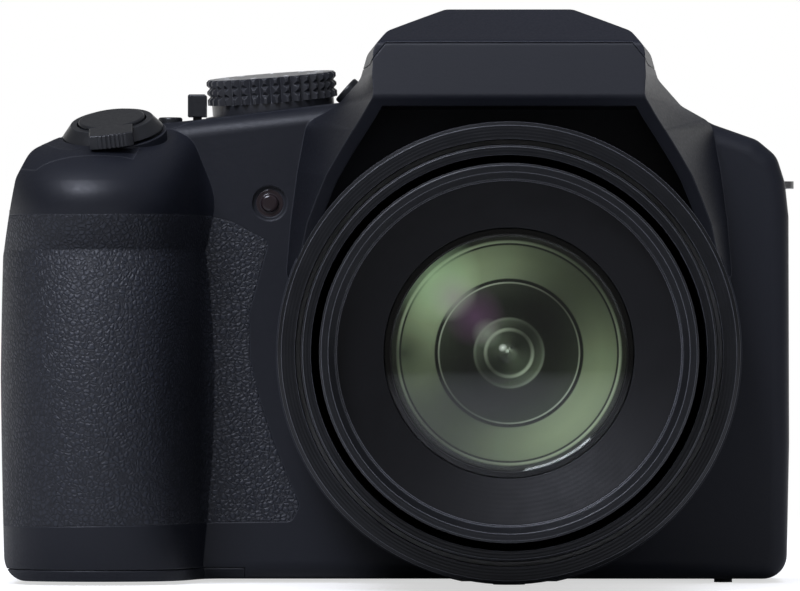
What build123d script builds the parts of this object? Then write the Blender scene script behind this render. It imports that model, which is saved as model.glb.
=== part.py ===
from build123d import *
import math
import os

os.makedirs("parts", exist_ok=True)

# Bridge camera with a fixed zoom lens. Millimetres, +Z up, the lens points along -Y.
# The origin is the mouth of the tripod socket, in the base face, straight below the lens axis.

# Overall sizes
body_height = 93.7
grip_reach = 83.8
right_reach = 46.4
axis_z = 37.4
rear_y = 10.0
eyecup_y = 24.0
shoulder_y = -24.0
grip_y = -48.0
brow_y = -56.5
lens_front_y = -95.2

# Shell sizes
wall = 1.8
base_thick = 1.8
rear_seam_y = -6.0
seam_gap = 0.15
fit_gap = 0.3
run_gap = 0.05
overrun = 6.0
edge_round = 3.0
corner_round = 4.0
rubber_thick = 1.0
soft_share = 0.8

# Hump and hood over the lens
hood_half = 37.0
hood_round = 3.0
brow_round = 1.2
hood_foot_z = 48.0
hood_back_y = -34.0
hump_rear_y = 13.0

# Lens sizes: radii, then the depths of each ring's front and back
casing_bore_r = 36.6
collar_r = 38.2
collar_y = -38.0
trim_r = 36.8
trim_bevel = 0.6
trim_inner_r = 34.0
trim_y = -82.0
trim_back_y = -76.0
barrel_r = 36.2
barrel_inner_r = 34.9
barrel_tail_r = 35.8
barrel_tail_y = -22.0
barrel_back_y = -7.0
barrel_floor = 2.0
barrel_ear_reach = 41.0
barrel_ear_half = 12.0
barrel_ear_thick = 1.2
sensor_hole_r = 12.0
cam_r = 34.6
cam_inner_r = 33.4
cam_y = -73.0
cam_back_y = -10.0
middle_r = 33.0
middle_inner_r = 31.4
middle_y = -86.0
middle_back_y = -34.0
front_r = 29.9
front_mouth_r = 28.5
thread_r = 27.5
thread_end_y = -90.4
name_ring_r = 27.2
front_back_y = -40.0
front_flange_r = 31.1
front_flange = 3.0
name_ring_y = -90.2
name_ring_inner_r = 19.9
name_ring_dip = 2.4
name_ring_back_y = -87.0
glass_r = 19.7
glass_edge_y = -87.4
glass_back_y = -83.4
cell_back_y = -81.4
cell_r = 18.5
front_tube_r = 26.0
front_bevel = 0.3
glass_curve_r = 76.0

# Lens carriages and drive
rod_r = 1.0
rod_place_r = 22.5
rod_tip_y = -80.0
carriage_reach = 25.0
carriage_arm = 3.0
carriage_rim = 1.6
glass_dip = 2.0
carriage_glass_r = 14.0
zoom_group_y = -50.0
zoom_group_long = 8.0
iris_thick = 1.4
iris_r = 20.0
iris_hole_r = 5.0
focus_group_y = -26.0
focus_group_long = 6.0
focus_glass_r = 11.0
gear_module = 0.7
cam_teeth = 98
pinion_teeth = 20
gear_wide = 4.0
gear_y = -16.5
gear_slack = 0.1
tooth_out = 0.3
tooth_in = 0.35
tooth_root_share = 0.40
tooth_tip_share = 0.28
motor_r = 5.0
motor_long = 9.0
bracket_y = -16.2
bracket_thick = 1.2
bracket_half = 5.5
motor_shaft_r = 1.0
motor_grip = 5.0
sensor_board_half = 17.0
sensor_board_thick = 1.2
sensor_wide = 10.0
sensor_high = 8.0
sensor_thick = 1.6

# Top cover and its controls
deck_front_y = -41.35
deck_corner_x = -61.5
deck_valley_x = -57.4
deck_right_x = -28.9
lever_x = -65.2
lever_y = -30.0
lever_z = 73.4
lever_lean = 17.5
lever_roll = -6.4
lever_r = 8.35
lever_top_r = 6.8
lever_high = 2.4
lever_tab_wide = 7.2
lever_tab_end = 11.35
lever_low = 0.5
lever_tab_low = 0.9
lever_tab_top = 3.2
tab_round = 0.3
tab_grooves = 9
tab_pitch = 0.72
tab_groove = 0.3
lever_spigot_r = 6.4
lever_spigot = 2.0
lever_bore_r = 5.8
lever_seat_r = 8.8
lever_seat_deep = 5.3
shutter_r = 5.5
shutter_low = 1.4
shutter_top = 2.9
shutter_stem_r = 2.0
shutter_stem = 3.6
seat_clear = 8.0
cover_split_z = 72.6
dial_x = -39.3
dial_y = -9.0
dial_z = 77.5
dial_lean = 3.9
dial_roll = -4.4
dial_r = 10.85
dial_skirt_r = 10.2
dial_skirt_high = 2.1
dial_high = 6.3
dial_knurls = 36
knurl_deep = 0.8
dial_rows = 3
dial_row_deep = 0.5
dial_stem_r = 4.0
dial_stem_deep = 3.2
dial_seat_r = 11.4
dial_seat_deep = 3.1
switch_x = -51.75
switch_y = -18.0
switch_wide = 3.0
switch_long = 6.0
switch_low_z = 76.6
switch_top_z = 80.3
switch_stem_wide = 1.4
switch_stem_long = 2.6
switch_stem_low_z = 72.6
switch_travel = 3.0
record_r = 3.2
record_x = -59.0
record_y = -11.0
record_z = 75.4
function_r = 2.0
function_x = -56.2
function_y = -19.0
function_z = 75.6
button_proud = 0.9
button_deep = 2.6
button_gap = 0.15
flange = 0.6
flange_thick = 0.6
key_round = 0.35

# Flash
lid_line_z = 87.7
lid_side_z = 84.4
lid_line_half = 20.0
lid_side_half = 22.6
lid_wall = 1.6
flash_hinge_y = -20.4
flash_hinge_z = 90.6
flash_pin_r = 0.8
lid_lap_r = 2.2
ear_in = 11.7
ear_thick = 2.2
ear_r = 1.7
ear_low_z = 85.0
ear_top_z = 91.4
ear_root_y = -12.0
ear_riser = 3.2
knuckle_clear = 3.0
flash_bay_half = 19.0
flash_bay_floor_z = 79.2
flash_bay_front_y = -53.2
undercut_top_z = 77.4
hood_wall = 2.2
flash_head_half = 14.5
head_front_y = -51.5
head_front_z = 87.0
head_low_y = -46.5
head_low_z = 80.2
head_back_y = -34.0
head_back_z = 91.2
head_ridge_y = -39.5
head_pocket_wide = 25.0
head_pocket_high = 5.6
head_pocket_deep = 4.0
flash_window_thick = 0.8
flash_window_wide = 27.4
flash_window_high = 7.4
flash_tube_r = 1.2
flash_button_r = 2.4
flash_button_x = -26.4
flash_button_y = -12.0
flash_button_z = 80.6
flash_button_tip = 41.5
flash_button_proud = 1.3
flash_button_deep = 3.2

# Viewfinder
eyepiece_z = 76.0
eyecup_wide = 30.0
eyecup_high = 19.0
eyecup_lip = 1.0
eyecup_round = 6.0
eye_hole_wide = 17.0
eye_hole_high = 11.0
eye_hole_round = 3.0
eye_glass_thick = 2.2
eye_glass_gap = 0.2
eye_glass_y = 12.0
finder_tube_y = -4.0
finder_tube_wall = 1.2
finder_panel_thick = 1.6
diopter_r = 4.0
diopter_wide = 2.6
diopter_x = 17.3
diopter_proud = 1.2
diopter_pin_r = 0.8
diopter_cheek = 1.0
diopter_ridges = 20

# Back of the camera
screen_wide = 66.0
screen_high = 51.0
screen_x = 9.5
screen_z = 34.0
screen_glass = 1.0
screen_lip = 2.0
screen_panel_thick = 2.4
key_pad_x = -50.5
key_pad_z = 33.0
menu_r = 3.8
key_inner_r = 4.6
key_outer_r = 9.6
key_gap_deg = 16.0
small_key_r = 2.7
af_lock_x = -46.0
af_lock_z = 62.0
finder_key_x = -31.5
finder_key_z = 64.0
play_key_x = -34.0
play_key_z = 52.0
display_key_x = -34.5
display_key_z = 14.0
thumb_x = -70.0
thumb_z = 49.0
thumb_wide = 18.0
thumb_high = 15.0
thumb_round = 4.0
thumb_recess = 1.0
thumb_proud = 0.6
wheel_r = 8.0
wheel_high = 3.6
wheel_x = -68.0
wheel_z = 65.5
wheel_proud = 1.8
wheel_ridges = 30
wheel_bore_r = 1.5
wheel_ridge = 0.5
wheel_shelf = 1.4
wheel_shelf_half = 4.0

# Base, battery and card
foot_r = 2.6
foot_high = 0.6
socket_r = 3.175
socket_deep = 5.5
socket_flange_r = 6.2
socket_roof = 1.2
foot_rear_y = 5.2
foot_right_x = 35.5
foot_left_x = -64.0
foot_side_r = 1.5
lens_foot_y = -34.5
door_left_x = -77.0
door_right_x = -51.6
door_front_y = -38.0
door_back_y = 3.0
door_nose_x = -59.5
door_neck_x = -56.5
door_neck_y = -27.0
door_bend_y = -21.0
door_thick = 1.2
hinge_x = -49.8
hinge_z = 1.5
hinge_relief = 0.6
knuckle_r = 1.3
door_pin_r = 0.6
knuckle_front_y = -16.0
knuckle_back_y = -4.0
door_ear = 4.0
latch_x = -73.0
latch_y = -19.0
latch_wide = 5.0
latch_long = 8.0
latch_thick = 0.6
latch_travel = 3.0
latch_ribs = 5
latch_rib = 0.3
battery_wide = 14.5
battery_long = 36.0
battery_high = 49.0
battery_low_z = 2.4
battery_round = 2.0
battery_x = -69.0
battery_y = -18.0
card_thick = 2.1
card_long = 24.0
card_high = 32.0
card_x = -58.6
card_y = -9.5
card_low_z = 3.0
bay_left_x = -78.0
bay_right_x = -56.2
bay_nose_x = -60.4
bay_step_y = -22.7
bay_front_y = -37.6
bay_back_y = 4.0
bay_rib_x = -61.5
bay_top_z = 53.5

# Side door, boards, lugs and lamp
side_door_front_y = -5.0
side_door_long = 13.0
side_door_z = 30.0
side_door_high = 24.0
side_door_thick = 1.2
side_door_x = 45.6
side_pintle_r = 0.35
side_pintle = 1.0
board_y = 0.6
board_thick = 1.2
board_left_x = -28.0
board_right_x = 43.4
board_low_z = 9.0
board_top_z = 64.0
post_r = 1.5
port_wide = 6.6
port_high = 5.0
port_deep = 5.0
port_wall = 0.7
port_z = 42.0
port_pitch = 9.0
lug_out_left_x = -84.0
lug_left_z = 60.8
lug_out_right_x = 47.8
lug_right_z = 65.6
lug_size = 5.4
lug_band = 1.2
lug_round = 1.8
lamp_x = -39.6
lamp_z = 62.2
lamp_r = 1.5
lamp_ring_r = 2.3
lamp_recess_r = 2.9
lamp_recess = 0.7
lamp_long = 3.0
screw_head_r = 1.7
screw_r = 0.8
screw_long = 5.0
screw_head = 0.7
screw_left_x = -41.0
screw_right_x = 28.0
screw_rear_y = 5.5
screw_front_y = -18.5
boss_r = 2.4
boss_top_z = 8.0
screw_places = [
    (screw_left_x, screw_rear_y), (screw_right_x, screw_rear_y),
    (screw_right_x, screw_front_y), (screw_left_x, screw_front_y),
]
ear_spans = [
    (knuckle_front_y - door_ear, knuckle_front_y - fit_gap),
    (knuckle_back_y + fit_gap, knuckle_back_y + door_ear),
]

# Front outline of the body below the hump: shares of the reach to that side and of the body's height
left_edge_shares = [(0.992, 0.0), (1.0, 0.36), (0.995, 0.57), (0.965, 0.705)]
left_deck_shares = [(0.937, 0.754), (0.892, 0.775), (0.845, 0.793), (0.680, 0.806), (0.615, 0.812)]
deck_end_shares = [(0.335, 0.842), (0.240, 0.860)]
right_shoulder_shares = [(0.55, 0.860), (0.64, 0.826), (0.73, 0.803), (0.885, 0.776), (0.955, 0.747)]
right_edge_shares = [(0.985, 0.700), (0.998, 0.640), (1.0, 0.24), (0.990, 0.0)]

# Grip: plan as shares of the grip's reach sideways and forwards; side profile, with the finger groove under
# the brow, as shares of forward reach and height; and the levels between which it runs smoothly
grip_plan_shares = [
    (1.04, 0.0), (1.006, 0.500), (0.975, 0.780), (0.915, 0.930), (0.830, 0.995), (0.745, 0.980),
    (0.680, 0.915), (0.640, 0.790), (0.618, 0.640), (0.600, 0.540), (0.570, 0.490),
]
grip_profile_shares = [
    (0.890, 0.0), (0.965, 0.150), (0.995, 0.320), (0.980, 0.470), (0.930, 0.580),
    (0.965, 0.610), (0.993, 0.650), (0.970, 0.700),
    (0.860, 0.745), (0.700, 0.775), (0.500, 0.800),
]
grip_creases = [0, 4, 7, 10]

# Hood sections, front to back: shares of the hood's half width and of the body's height
hood_front_shares = [
    (0.281, 1.0), (0.530, 0.958), (0.592, 0.928), (0.597, 0.882),
    (0.592, 0.845), (0.664, 0.783), (0.767, 0.705), (0.848, 0.622),
]
hood_front_foot_share = 0.900
hood_rear_shares = [
    (0.281, 1.0), (0.554, 0.958), (0.632, 0.928), (0.665, 0.882),
    (0.770, 0.835), (0.905, 0.805), (0.945, 0.720), (0.975, 0.630),
]
finder_shares = [
    (0.243, 1.0), (0.405, 0.965), (0.470, 0.928), (0.500, 0.882),
    (0.560, 0.835), (0.660, 0.805), (0.690, 0.720), (0.700, 0.630),
]
# Hump profile from above: shares of the brow's reach forwards, and of the body's height
hump_front_shares = [
    (0.354, 1.0), (0.672, 1.0), (0.972, 0.938), (1.0, 0.842), (0.743, 0.560), (0.640, 0.480),
]
hump_rear_shares = [(0.5, 0.480), (0.5, 0.650), (1.0, 0.668), (1.0, 0.915), (0.77, 0.938), (0.1, 0.962)]

# Grip rubber outline: shares of the grip's reach and of the body's height
rubber_shares = [
    (1.10, 0.640), (0.590, 0.641), (0.545, 0.631), (0.474, 0.596), (0.490, 0.545), (0.513, 0.470),
    (0.511, 0.390), (0.492, 0.317), (0.460, 0.232), (0.413, 0.130), (0.430, 0.102), (1.10, 0.094),
]
rubber_round = 1.2
rubber_back_y = -20.0


def facing(y, x=0.0, z=0.0):
    """Plane across the camera at depth y as seen from the front: local x is +X, local y is +Z."""
    return Plane(origin=(x, y, z), x_dir=(1, 0, 0), z_dir=(0, -1, 0))


def facing_back(y, x=0.0, z=0.0):
    """Plane across the camera at depth y as seen from behind: local x is -X, local y is +Z."""
    return Plane(origin=(x, y, z), x_dir=(-1, 0, 0), z_dir=(0, 1, 0))


def side_plane(x):
    """Plane along the camera at width x: local x is +Y, local y is +Z."""
    return Plane(origin=(x, 0, 0), x_dir=(0, 1, 0), z_dir=(1, 0, 0))


def leaning(x, y, z, lean, roll):
    """Plane through a point of the deck that leans forwards by lean and to the grip's side by -roll."""
    up = Vector(0, 0, 1).rotate(Axis.X, lean).rotate(Axis.Y, roll)
    across = Vector(1, 0, 0).rotate(Axis.Y, roll)
    return Plane(origin=(x, y, z), x_dir=across, z_dir=up)


def scaled(shares, wide, high):
    """Outline points from their shares of a width and a height."""
    return [(u * wide, v * high) for u, v in shares]


lens_axis = Axis((0, 0, axis_z), (0, 1, 0))
lens_section = Plane(origin=(0, 0, axis_z), x_dir=(0, 1, 0), z_dir=(1, 0, 0))
lever_plane = leaning(lever_x, lever_y, lever_z, lever_lean, lever_roll)
dial_plane = leaning(dial_x, dial_y, dial_z, dial_lean, dial_roll)


def drawn_in(points, gap):
    """Points of a curve moved to the left of its run, each square to the line between its neighbours."""
    moved = []
    for at, (x, y) in enumerate(points):
        x_before, y_before = points[max(at - 1, 0)]
        x_after, y_after = points[min(at + 1, len(points) - 1)]
        run = math.hypot(x_after - x_before, y_after - y_before)
        moved.append((x - gap * (y_after - y_before) / run, y + gap * (x_after - x_before) / run))
    return moved


def turned(points):
    """Body of revolution about the lens axis from a closed outline of (depth, radius) points."""
    with BuildPart() as ring:
        with BuildSketch(lens_section):
            Polygon(*points, align=None)
        revolve(axis=lens_axis)
    return ring.part


def block_form(inset):
    """Main block: the front outline drawn back through the body, every face moved in by inset."""
    outline = (
        scaled(left_edge_shares, -grip_reach, body_height)
        + scaled(left_deck_shares, -grip_reach, body_height)
        + scaled(deck_end_shares, -grip_reach, body_height)
        + scaled(right_shoulder_shares, right_reach, body_height)
        + scaled(right_edge_shares, right_reach, body_height)
    )
    with BuildPart() as form:
        with BuildSketch(facing(rear_y - inset)):
            with BuildLine():
                FilletPolyline(*outline, radius=corner_round, close=True)
            make_face()
            if inset:
                offset(amount=-inset)
        extrude(amount=rear_y - shoulder_y - 2 * inset)
        fillet(form.faces().filter_by(Axis.Y).edges(), radius=edge_round - inset)
    return form.part


def grip_form(inset):
    """Grip: its plan drawn at each level of its side profile and lofted, cut by the body's left edge."""
    outline = scaled(left_edge_shares, -grip_reach, body_height)
    outline += scaled(left_deck_shares, -grip_reach, body_height)
    outline += [(0, left_deck_shares[-1][1] * body_height), (0, 0)]
    plan = scaled(grip_plan_shares, -grip_reach, 1)
    sides = [x for x, _ in drawn_in(scaled(grip_plan_shares, -grip_reach, grip_y), inset)]
    levels = []
    for reach, z in drawn_in(scaled(grip_profile_shares, grip_y, body_height), -inset):
        level = [(x, reach * share) for x, (_, share) in zip(sides, plan)]
        with BuildSketch(Plane.XY.offset(max(z, inset))) as section:
            with BuildLine():
                Spline(*level)
                Polyline(level[-1], (sides[-1], edge_round), (sides[0], edge_round), level[0])
            make_face()
        levels.append(section.sketch)
    with BuildPart() as form:
        for first, last in zip(grip_creases, grip_creases[1:]):
            loft(sections=levels[first:last + 1])
        with BuildSketch(facing(rear_y)):
            with BuildLine():
                FilletPolyline(*outline, radius=corner_round, close=True)
            make_face()
            if inset:
                offset(amount=-inset)
        extrude(amount=rear_y - grip_y + overrun, dir=(0, -1, 0), mode=Mode.INTERSECT)
    return form.part


def hood_face(y, shares, foot_share, inset):
    """Rounded cross section of the hood at depth y, mirrored about the lens axis and moved in by inset."""
    half = scaled(shares, hood_half, body_height) + [(foot_share * hood_half, hood_foot_z)]
    with BuildSketch(facing(y)) as section:
        with BuildLine():
            FilletPolyline(*half, *[(-x, z) for x, z in reversed(half)], radius=hood_round, close=True)
        make_face()
        if inset:
            offset(amount=-inset)
    return section.sketch


def hood_form(inset):
    """Hump and hood: three sections lofted from the brow to the viewfinder, cut by the side profile."""
    profile = scaled(hump_front_shares, brow_y, body_height)
    profile += scaled(hump_rear_shares, hump_rear_y, body_height)
    front = hood_face(brow_y, hood_front_shares, hood_front_foot_share, inset)
    middle = hood_face(shoulder_y, hood_rear_shares, 1.0, inset)
    rear = hood_face(hump_rear_y, finder_shares, finder_shares[-1][0], inset)
    with BuildPart() as form:
        loft(sections=[front, middle], ruled=True)
        loft(sections=[middle, rear], ruled=True)
        with BuildSketch(side_plane(-hood_half)):
            with BuildLine():
                FilletPolyline(*profile, radius=brow_round, close=True)
            make_face()
            if inset:
                offset(amount=-inset)
        extrude(amount=2 * hood_half, dir=(1, 0, 0), mode=Mode.INTERSECT)
    return form.part


def save(piece, name):
    """Label a finished piece and write its file."""
    piece.label = name
    export_step(piece, f"parts/{name}.step")


def round_cut(plane, radius, depth):
    """Round room sunk from a plane against its normal."""
    with BuildPart() as room:
        with BuildSketch(plane):
            Circle(radius)
        extrude(amount=-depth)
    return room.part


# Whole outer form and the room inside it
with BuildPart() as collar_form:
    with BuildSketch(facing(shoulder_y + wall, z=axis_z)):
        Circle(collar_r)
    extrude(amount=shoulder_y + wall - collar_y)
    with BuildSketch(Plane.XY):
        Rectangle(2 * collar_r, 2 * body_height)
    extrude(amount=body_height, mode=Mode.INTERSECT)

with BuildPart() as outer_form:
    add(block_form(0))
    add(grip_form(0))
    add(hood_form(0))
    add(collar_form.part)

with BuildPart() as inner_form:
    add(hood_form(wall))
    with BuildSketch(facing(hood_back_y + wall)):
        Rectangle(2 * grip_reach, 2 * body_height)
    extrude(amount=2 * body_height, mode=Mode.SUBTRACT)
    add(block_form(wall))
    add(grip_form(wall))

with BuildPart() as shell:
    add(outer_form.part)
    add(inner_form.part, mode=Mode.SUBTRACT)

# Room under the brow, open to the front
with BuildPart() as undercut:
    brow_face = hood_face(brow_y, hood_front_shares, hood_front_foot_share, hood_wall)
    loft(sections=[brow_face, hood_face(shoulder_y, hood_rear_shares, 1.0, hood_wall)], ruled=True)
    split(bisect_by=Plane.XY.offset(undercut_top_z), keep=Keep.BOTTOM)
    split(bisect_by=facing(hood_back_y), keep=Keep.TOP)

# Room for the lens through the front of the casing
with BuildPart() as lens_bore:
    with BuildSketch(facing(rear_seam_y, z=axis_z)):
        Circle(casing_bore_r)
    extrude(amount=rear_seam_y - lens_front_y)


def base_room(gap):
    """Room of the base cover: under the block, and under the whole grip beside the battery hinge."""
    left = -grip_reach - overrun
    right = hinge_x + overrun + gap
    with BuildPart() as room:
        with BuildSketch(Plane.XY.offset(base_thick + gap)):
            Polygon(
                (left, grip_y - overrun), (right, grip_y - overrun), (right, shoulder_y + edge_round - gap),
                (grip_reach, shoulder_y + edge_round - gap), (grip_reach, rear_y + overrun),
                (left, rear_y + overrun),
                align=None,
            )
        extrude(amount=-base_thick - overrun)
    return room.part


def lid_room(gap, knuckle_reach):
    """Room of the pop-up cover: the hump over its split line, lapping round the hinge at the back."""
    right = [
        (hood_half, lid_side_z - gap), (lid_side_half, lid_side_z - gap), (lid_line_half, lid_line_z - gap),
    ]
    outline = right + [(-x, z) for x, z in reversed(right)]
    outline += [(-hood_half, body_height + overrun), (hood_half, body_height + overrun)]
    knuckle_half = ear_in - fit_gap
    with BuildPart() as room:
        with BuildSketch(facing(flash_hinge_y + gap)):
            Polygon(*outline, align=None)
        extrude(amount=flash_hinge_y - brow_y + overrun)
        with BuildSketch(side_plane(-hood_half)):
            with Locations((flash_hinge_y, flash_hinge_z)):
                Circle(lid_lap_r - gap)
        extrude(amount=2 * hood_half, mode=Mode.SUBTRACT)
        if knuckle_reach:
            with BuildSketch(side_plane(-knuckle_half)):
                with Locations((flash_hinge_y, flash_hinge_z)):
                    Circle(knuckle_reach)
                with Locations((flash_hinge_y, lid_line_z)):
                    Rectangle(knuckle_reach, flash_hinge_z - lid_line_z, align=(Align.MIN, Align.MIN))
            extrude(amount=2 * knuckle_half)
    return room.part


# Room of the top cover, over the grip and under the dials
with BuildPart() as top_room:
    with BuildSketch(Plane.XY):
        Polygon(
            (-grip_reach - overrun, deck_front_y), (deck_corner_x, deck_front_y),
            (deck_valley_x, shoulder_y), (switch_x, shoulder_y + wall + seam_gap),
            (deck_right_x, shoulder_y + wall + seam_gap), (deck_right_x, rear_y + overrun),
            (-grip_reach - overrun, rear_y + overrun),
            align=None,
        )
    extrude(amount=body_height)
    with BuildSketch(side_plane(-grip_reach - overrun)):
        Polygon(
            (grip_y, cover_split_z - overrun), (rear_y + overrun, cover_split_z - seam_gap),
            (rear_y + overrun, body_height), (grip_y, body_height),
            align=None,
        )
    extrude(amount=2 * grip_reach, mode=Mode.INTERSECT)

# Seats of the zoom lever and the mode dial, and the room they need
with BuildPart() as lever_seat:
    add(round_cut(lever_plane, lever_seat_r, lever_seat_deep))
    add(round_cut(lever_plane, lever_spigot_r + run_gap, lever_spigot + fit_gap), mode=Mode.SUBTRACT)
    add(round_cut(lever_plane, shutter_stem_r + run_gap, 2 * lever_seat_deep), mode=Mode.SUBTRACT)

with BuildPart() as lever_clear:
    add(round_cut(lever_plane.offset(seat_clear), lever_seat_r, seat_clear + lever_seat_deep))
    with BuildSketch(lever_plane.offset(lever_tab_low - seam_gap)):
        Circle(lever_tab_end + fit_gap)
        with Locations((0, -lever_tab_end)):
            Rectangle(4 * lever_tab_end, 2 * lever_tab_end, mode=Mode.INTERSECT)
    extrude(amount=seat_clear)

with BuildPart() as dial_seat:
    add(round_cut(dial_plane, dial_seat_r, dial_seat_deep))
    add(top_room.part, mode=Mode.INTERSECT)

with BuildPart() as dial_clear:
    add(round_cut(dial_plane.offset(seat_clear), dial_seat_r, seat_clear))

# Grip skin, let into the casing
with BuildPart() as rubber_room:
    with BuildSketch(facing(rubber_back_y)):
        with BuildLine():
            FilletPolyline(*scaled(rubber_shares, -grip_reach, body_height), radius=rubber_round, close=True)
        make_face()
    extrude(amount=rubber_back_y - grip_y + overrun, dir=(0, -1, 0))

with BuildPart() as rubber_core:
    add(block_form(rubber_thick))
    add(grip_form(rubber_thick))

with BuildPart() as grip_rubber:
    add(outer_form.part)
    add(rubber_core.part, mode=Mode.SUBTRACT)
    add(hood_form(0), mode=Mode.SUBTRACT)
    add(rubber_room.part, mode=Mode.INTERSECT)
save(grip_rubber.part, "grip_rubber")

# Front casing: hood, grip core and front wall, with the hinge ears of the flash and the screw bosses
knuckle_reach = body_height - flash_hinge_z
knuckle_room = knuckle_reach + fit_gap + seam_gap
ear_span = ear_in + ear_thick
flank_plane = Plane(
    origin=(flash_button_x, flash_button_y, flash_button_z),
    z_dir=Vector(-1, 0, 0).rotate(Axis.Y, flash_button_tip),
)


def boss(x, y, wall_y):
    """Screw boss standing over the base cover, ribbed to the wall at depth wall_y."""
    low_z = base_thick + seam_gap
    with BuildPart() as post:
        with BuildSketch(Plane.XY.offset(low_z)):
            with Locations((x, y)):
                Circle(boss_r)
            with Locations((x, (y + wall_y) / 2)):
                Rectangle(boss_r, abs(wall_y - y))
        extrude(amount=boss_top_z - low_z)
        with BuildSketch(Plane.XY):
            with Locations((x, y)):
                Circle(screw_r)
        extrude(amount=screw_long, mode=Mode.SUBTRACT)
    return post.part


with BuildPart() as front_casing:
    add(shell.part)
    split(bisect_by=facing(rear_seam_y - seam_gap), keep=Keep.TOP)
    add(base_room(seam_gap), mode=Mode.SUBTRACT)
    add(top_room.part, mode=Mode.SUBTRACT)
    add(grip_rubber.part, mode=Mode.SUBTRACT)
    add(undercut.part, mode=Mode.SUBTRACT)
    add(lens_bore.part, mode=Mode.SUBTRACT)
    add(lid_room(seam_gap, 0), mode=Mode.SUBTRACT)
    add(lever_clear.part, mode=Mode.SUBTRACT)
    add(dial_clear.part, mode=Mode.SUBTRACT)
    key_room = overrun + flash_button_deep + wall
    add(round_cut(flank_plane.offset(overrun), flash_button_r + button_gap, key_room), mode=Mode.SUBTRACT)
    with BuildSketch(side_plane(-ear_span - seam_gap)):
        with Locations((flash_hinge_y - knuckle_room, ear_low_z)):
            Rectangle(2 * knuckle_room, body_height - ear_low_z + overrun, align=(Align.MIN, Align.MIN))
    extrude(amount=2 * (ear_span + seam_gap), mode=Mode.SUBTRACT)
    with BuildSketch(Plane.XY.offset(flash_bay_floor_z)):
        with Locations((0, flash_bay_front_y)):
            Rectangle(2 * flash_bay_half, hood_back_y + wall - flash_bay_front_y, align=(Align.CENTER, Align.MIN))
    extrude(amount=body_height - flash_bay_floor_z, mode=Mode.SUBTRACT)
    for side in (-1, 1):
        with BuildSketch(side_plane(side * ear_in)):
            with Locations((flash_hinge_y, flash_hinge_z)):
                Circle(ear_r)
            with Locations((flash_hinge_y - ear_r, ear_low_z)):
                Rectangle(2 * ear_r, flash_hinge_z - ear_low_z, align=(Align.MIN, Align.MIN))
            with Locations((flash_hinge_y - ear_r, ear_low_z)):
                Rectangle(ear_root_y - flash_hinge_y + ear_r, 2 * ear_r, align=(Align.MIN, Align.MIN))
            with Locations((ear_root_y - ear_riser, ear_low_z)):
                Rectangle(ear_riser, ear_top_z - ear_low_z, align=(Align.MIN, Align.MIN))
        extrude(amount=side * ear_thick)
    with BuildSketch(side_plane(-ear_span)):
        with Locations((flash_hinge_y, flash_hinge_z)):
            Circle(flash_pin_r)
    extrude(amount=2 * ear_span, mode=Mode.SUBTRACT)
    lamp_plane = facing(shoulder_y, lamp_x, lamp_z)
    add(round_cut(lamp_plane, lamp_recess_r, lamp_recess), mode=Mode.SUBTRACT)
    add(round_cut(lamp_plane, lamp_ring_r, 2 * wall), mode=Mode.SUBTRACT)
    with BuildSketch(Plane.XY):
        with Locations((0, lens_foot_y)):
            Circle(foot_r)
    extrude(amount=-foot_high)
    for x, y in screw_places[2:]:
        add(boss(x, y, shoulder_y + wall - seam_gap))
save(front_casing.part, "front_casing")

# Top cover with its two seats and its button holes
with BuildPart() as top_cover:
    add(shell.part)
    add(top_room.part, mode=Mode.INTERSECT)
    add(lever_clear.part, mode=Mode.SUBTRACT)
    add(dial_clear.part, mode=Mode.SUBTRACT)
    add(lever_seat.part)
    add(dial_seat.part)
    add(round_cut(dial_plane, dial_stem_r + run_gap, 2 * dial_stem_deep), mode=Mode.SUBTRACT)
    with BuildSketch(Plane.XY.offset(function_z - overrun)):
        with Locations((record_x, record_y)):
            Circle(record_r + button_gap)
        with Locations((function_x, function_y)):
            Circle(function_r + button_gap)
        with Locations((switch_x, switch_y + switch_travel / 2)):
            Rectangle(switch_stem_wide + fit_gap, switch_stem_long + switch_travel + fit_gap)
    extrude(amount=2 * overrun, mode=Mode.SUBTRACT)
save(top_cover.part, "top_cover")

# Base cover with its side feet, the battery opening and the hinge ears
door_outline = [
    (door_left_x, door_front_y), (door_nose_x, door_front_y), (door_neck_x, door_neck_y),
    (door_right_x, door_bend_y), (door_right_x, door_back_y), (door_left_x, door_back_y),
]

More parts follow.
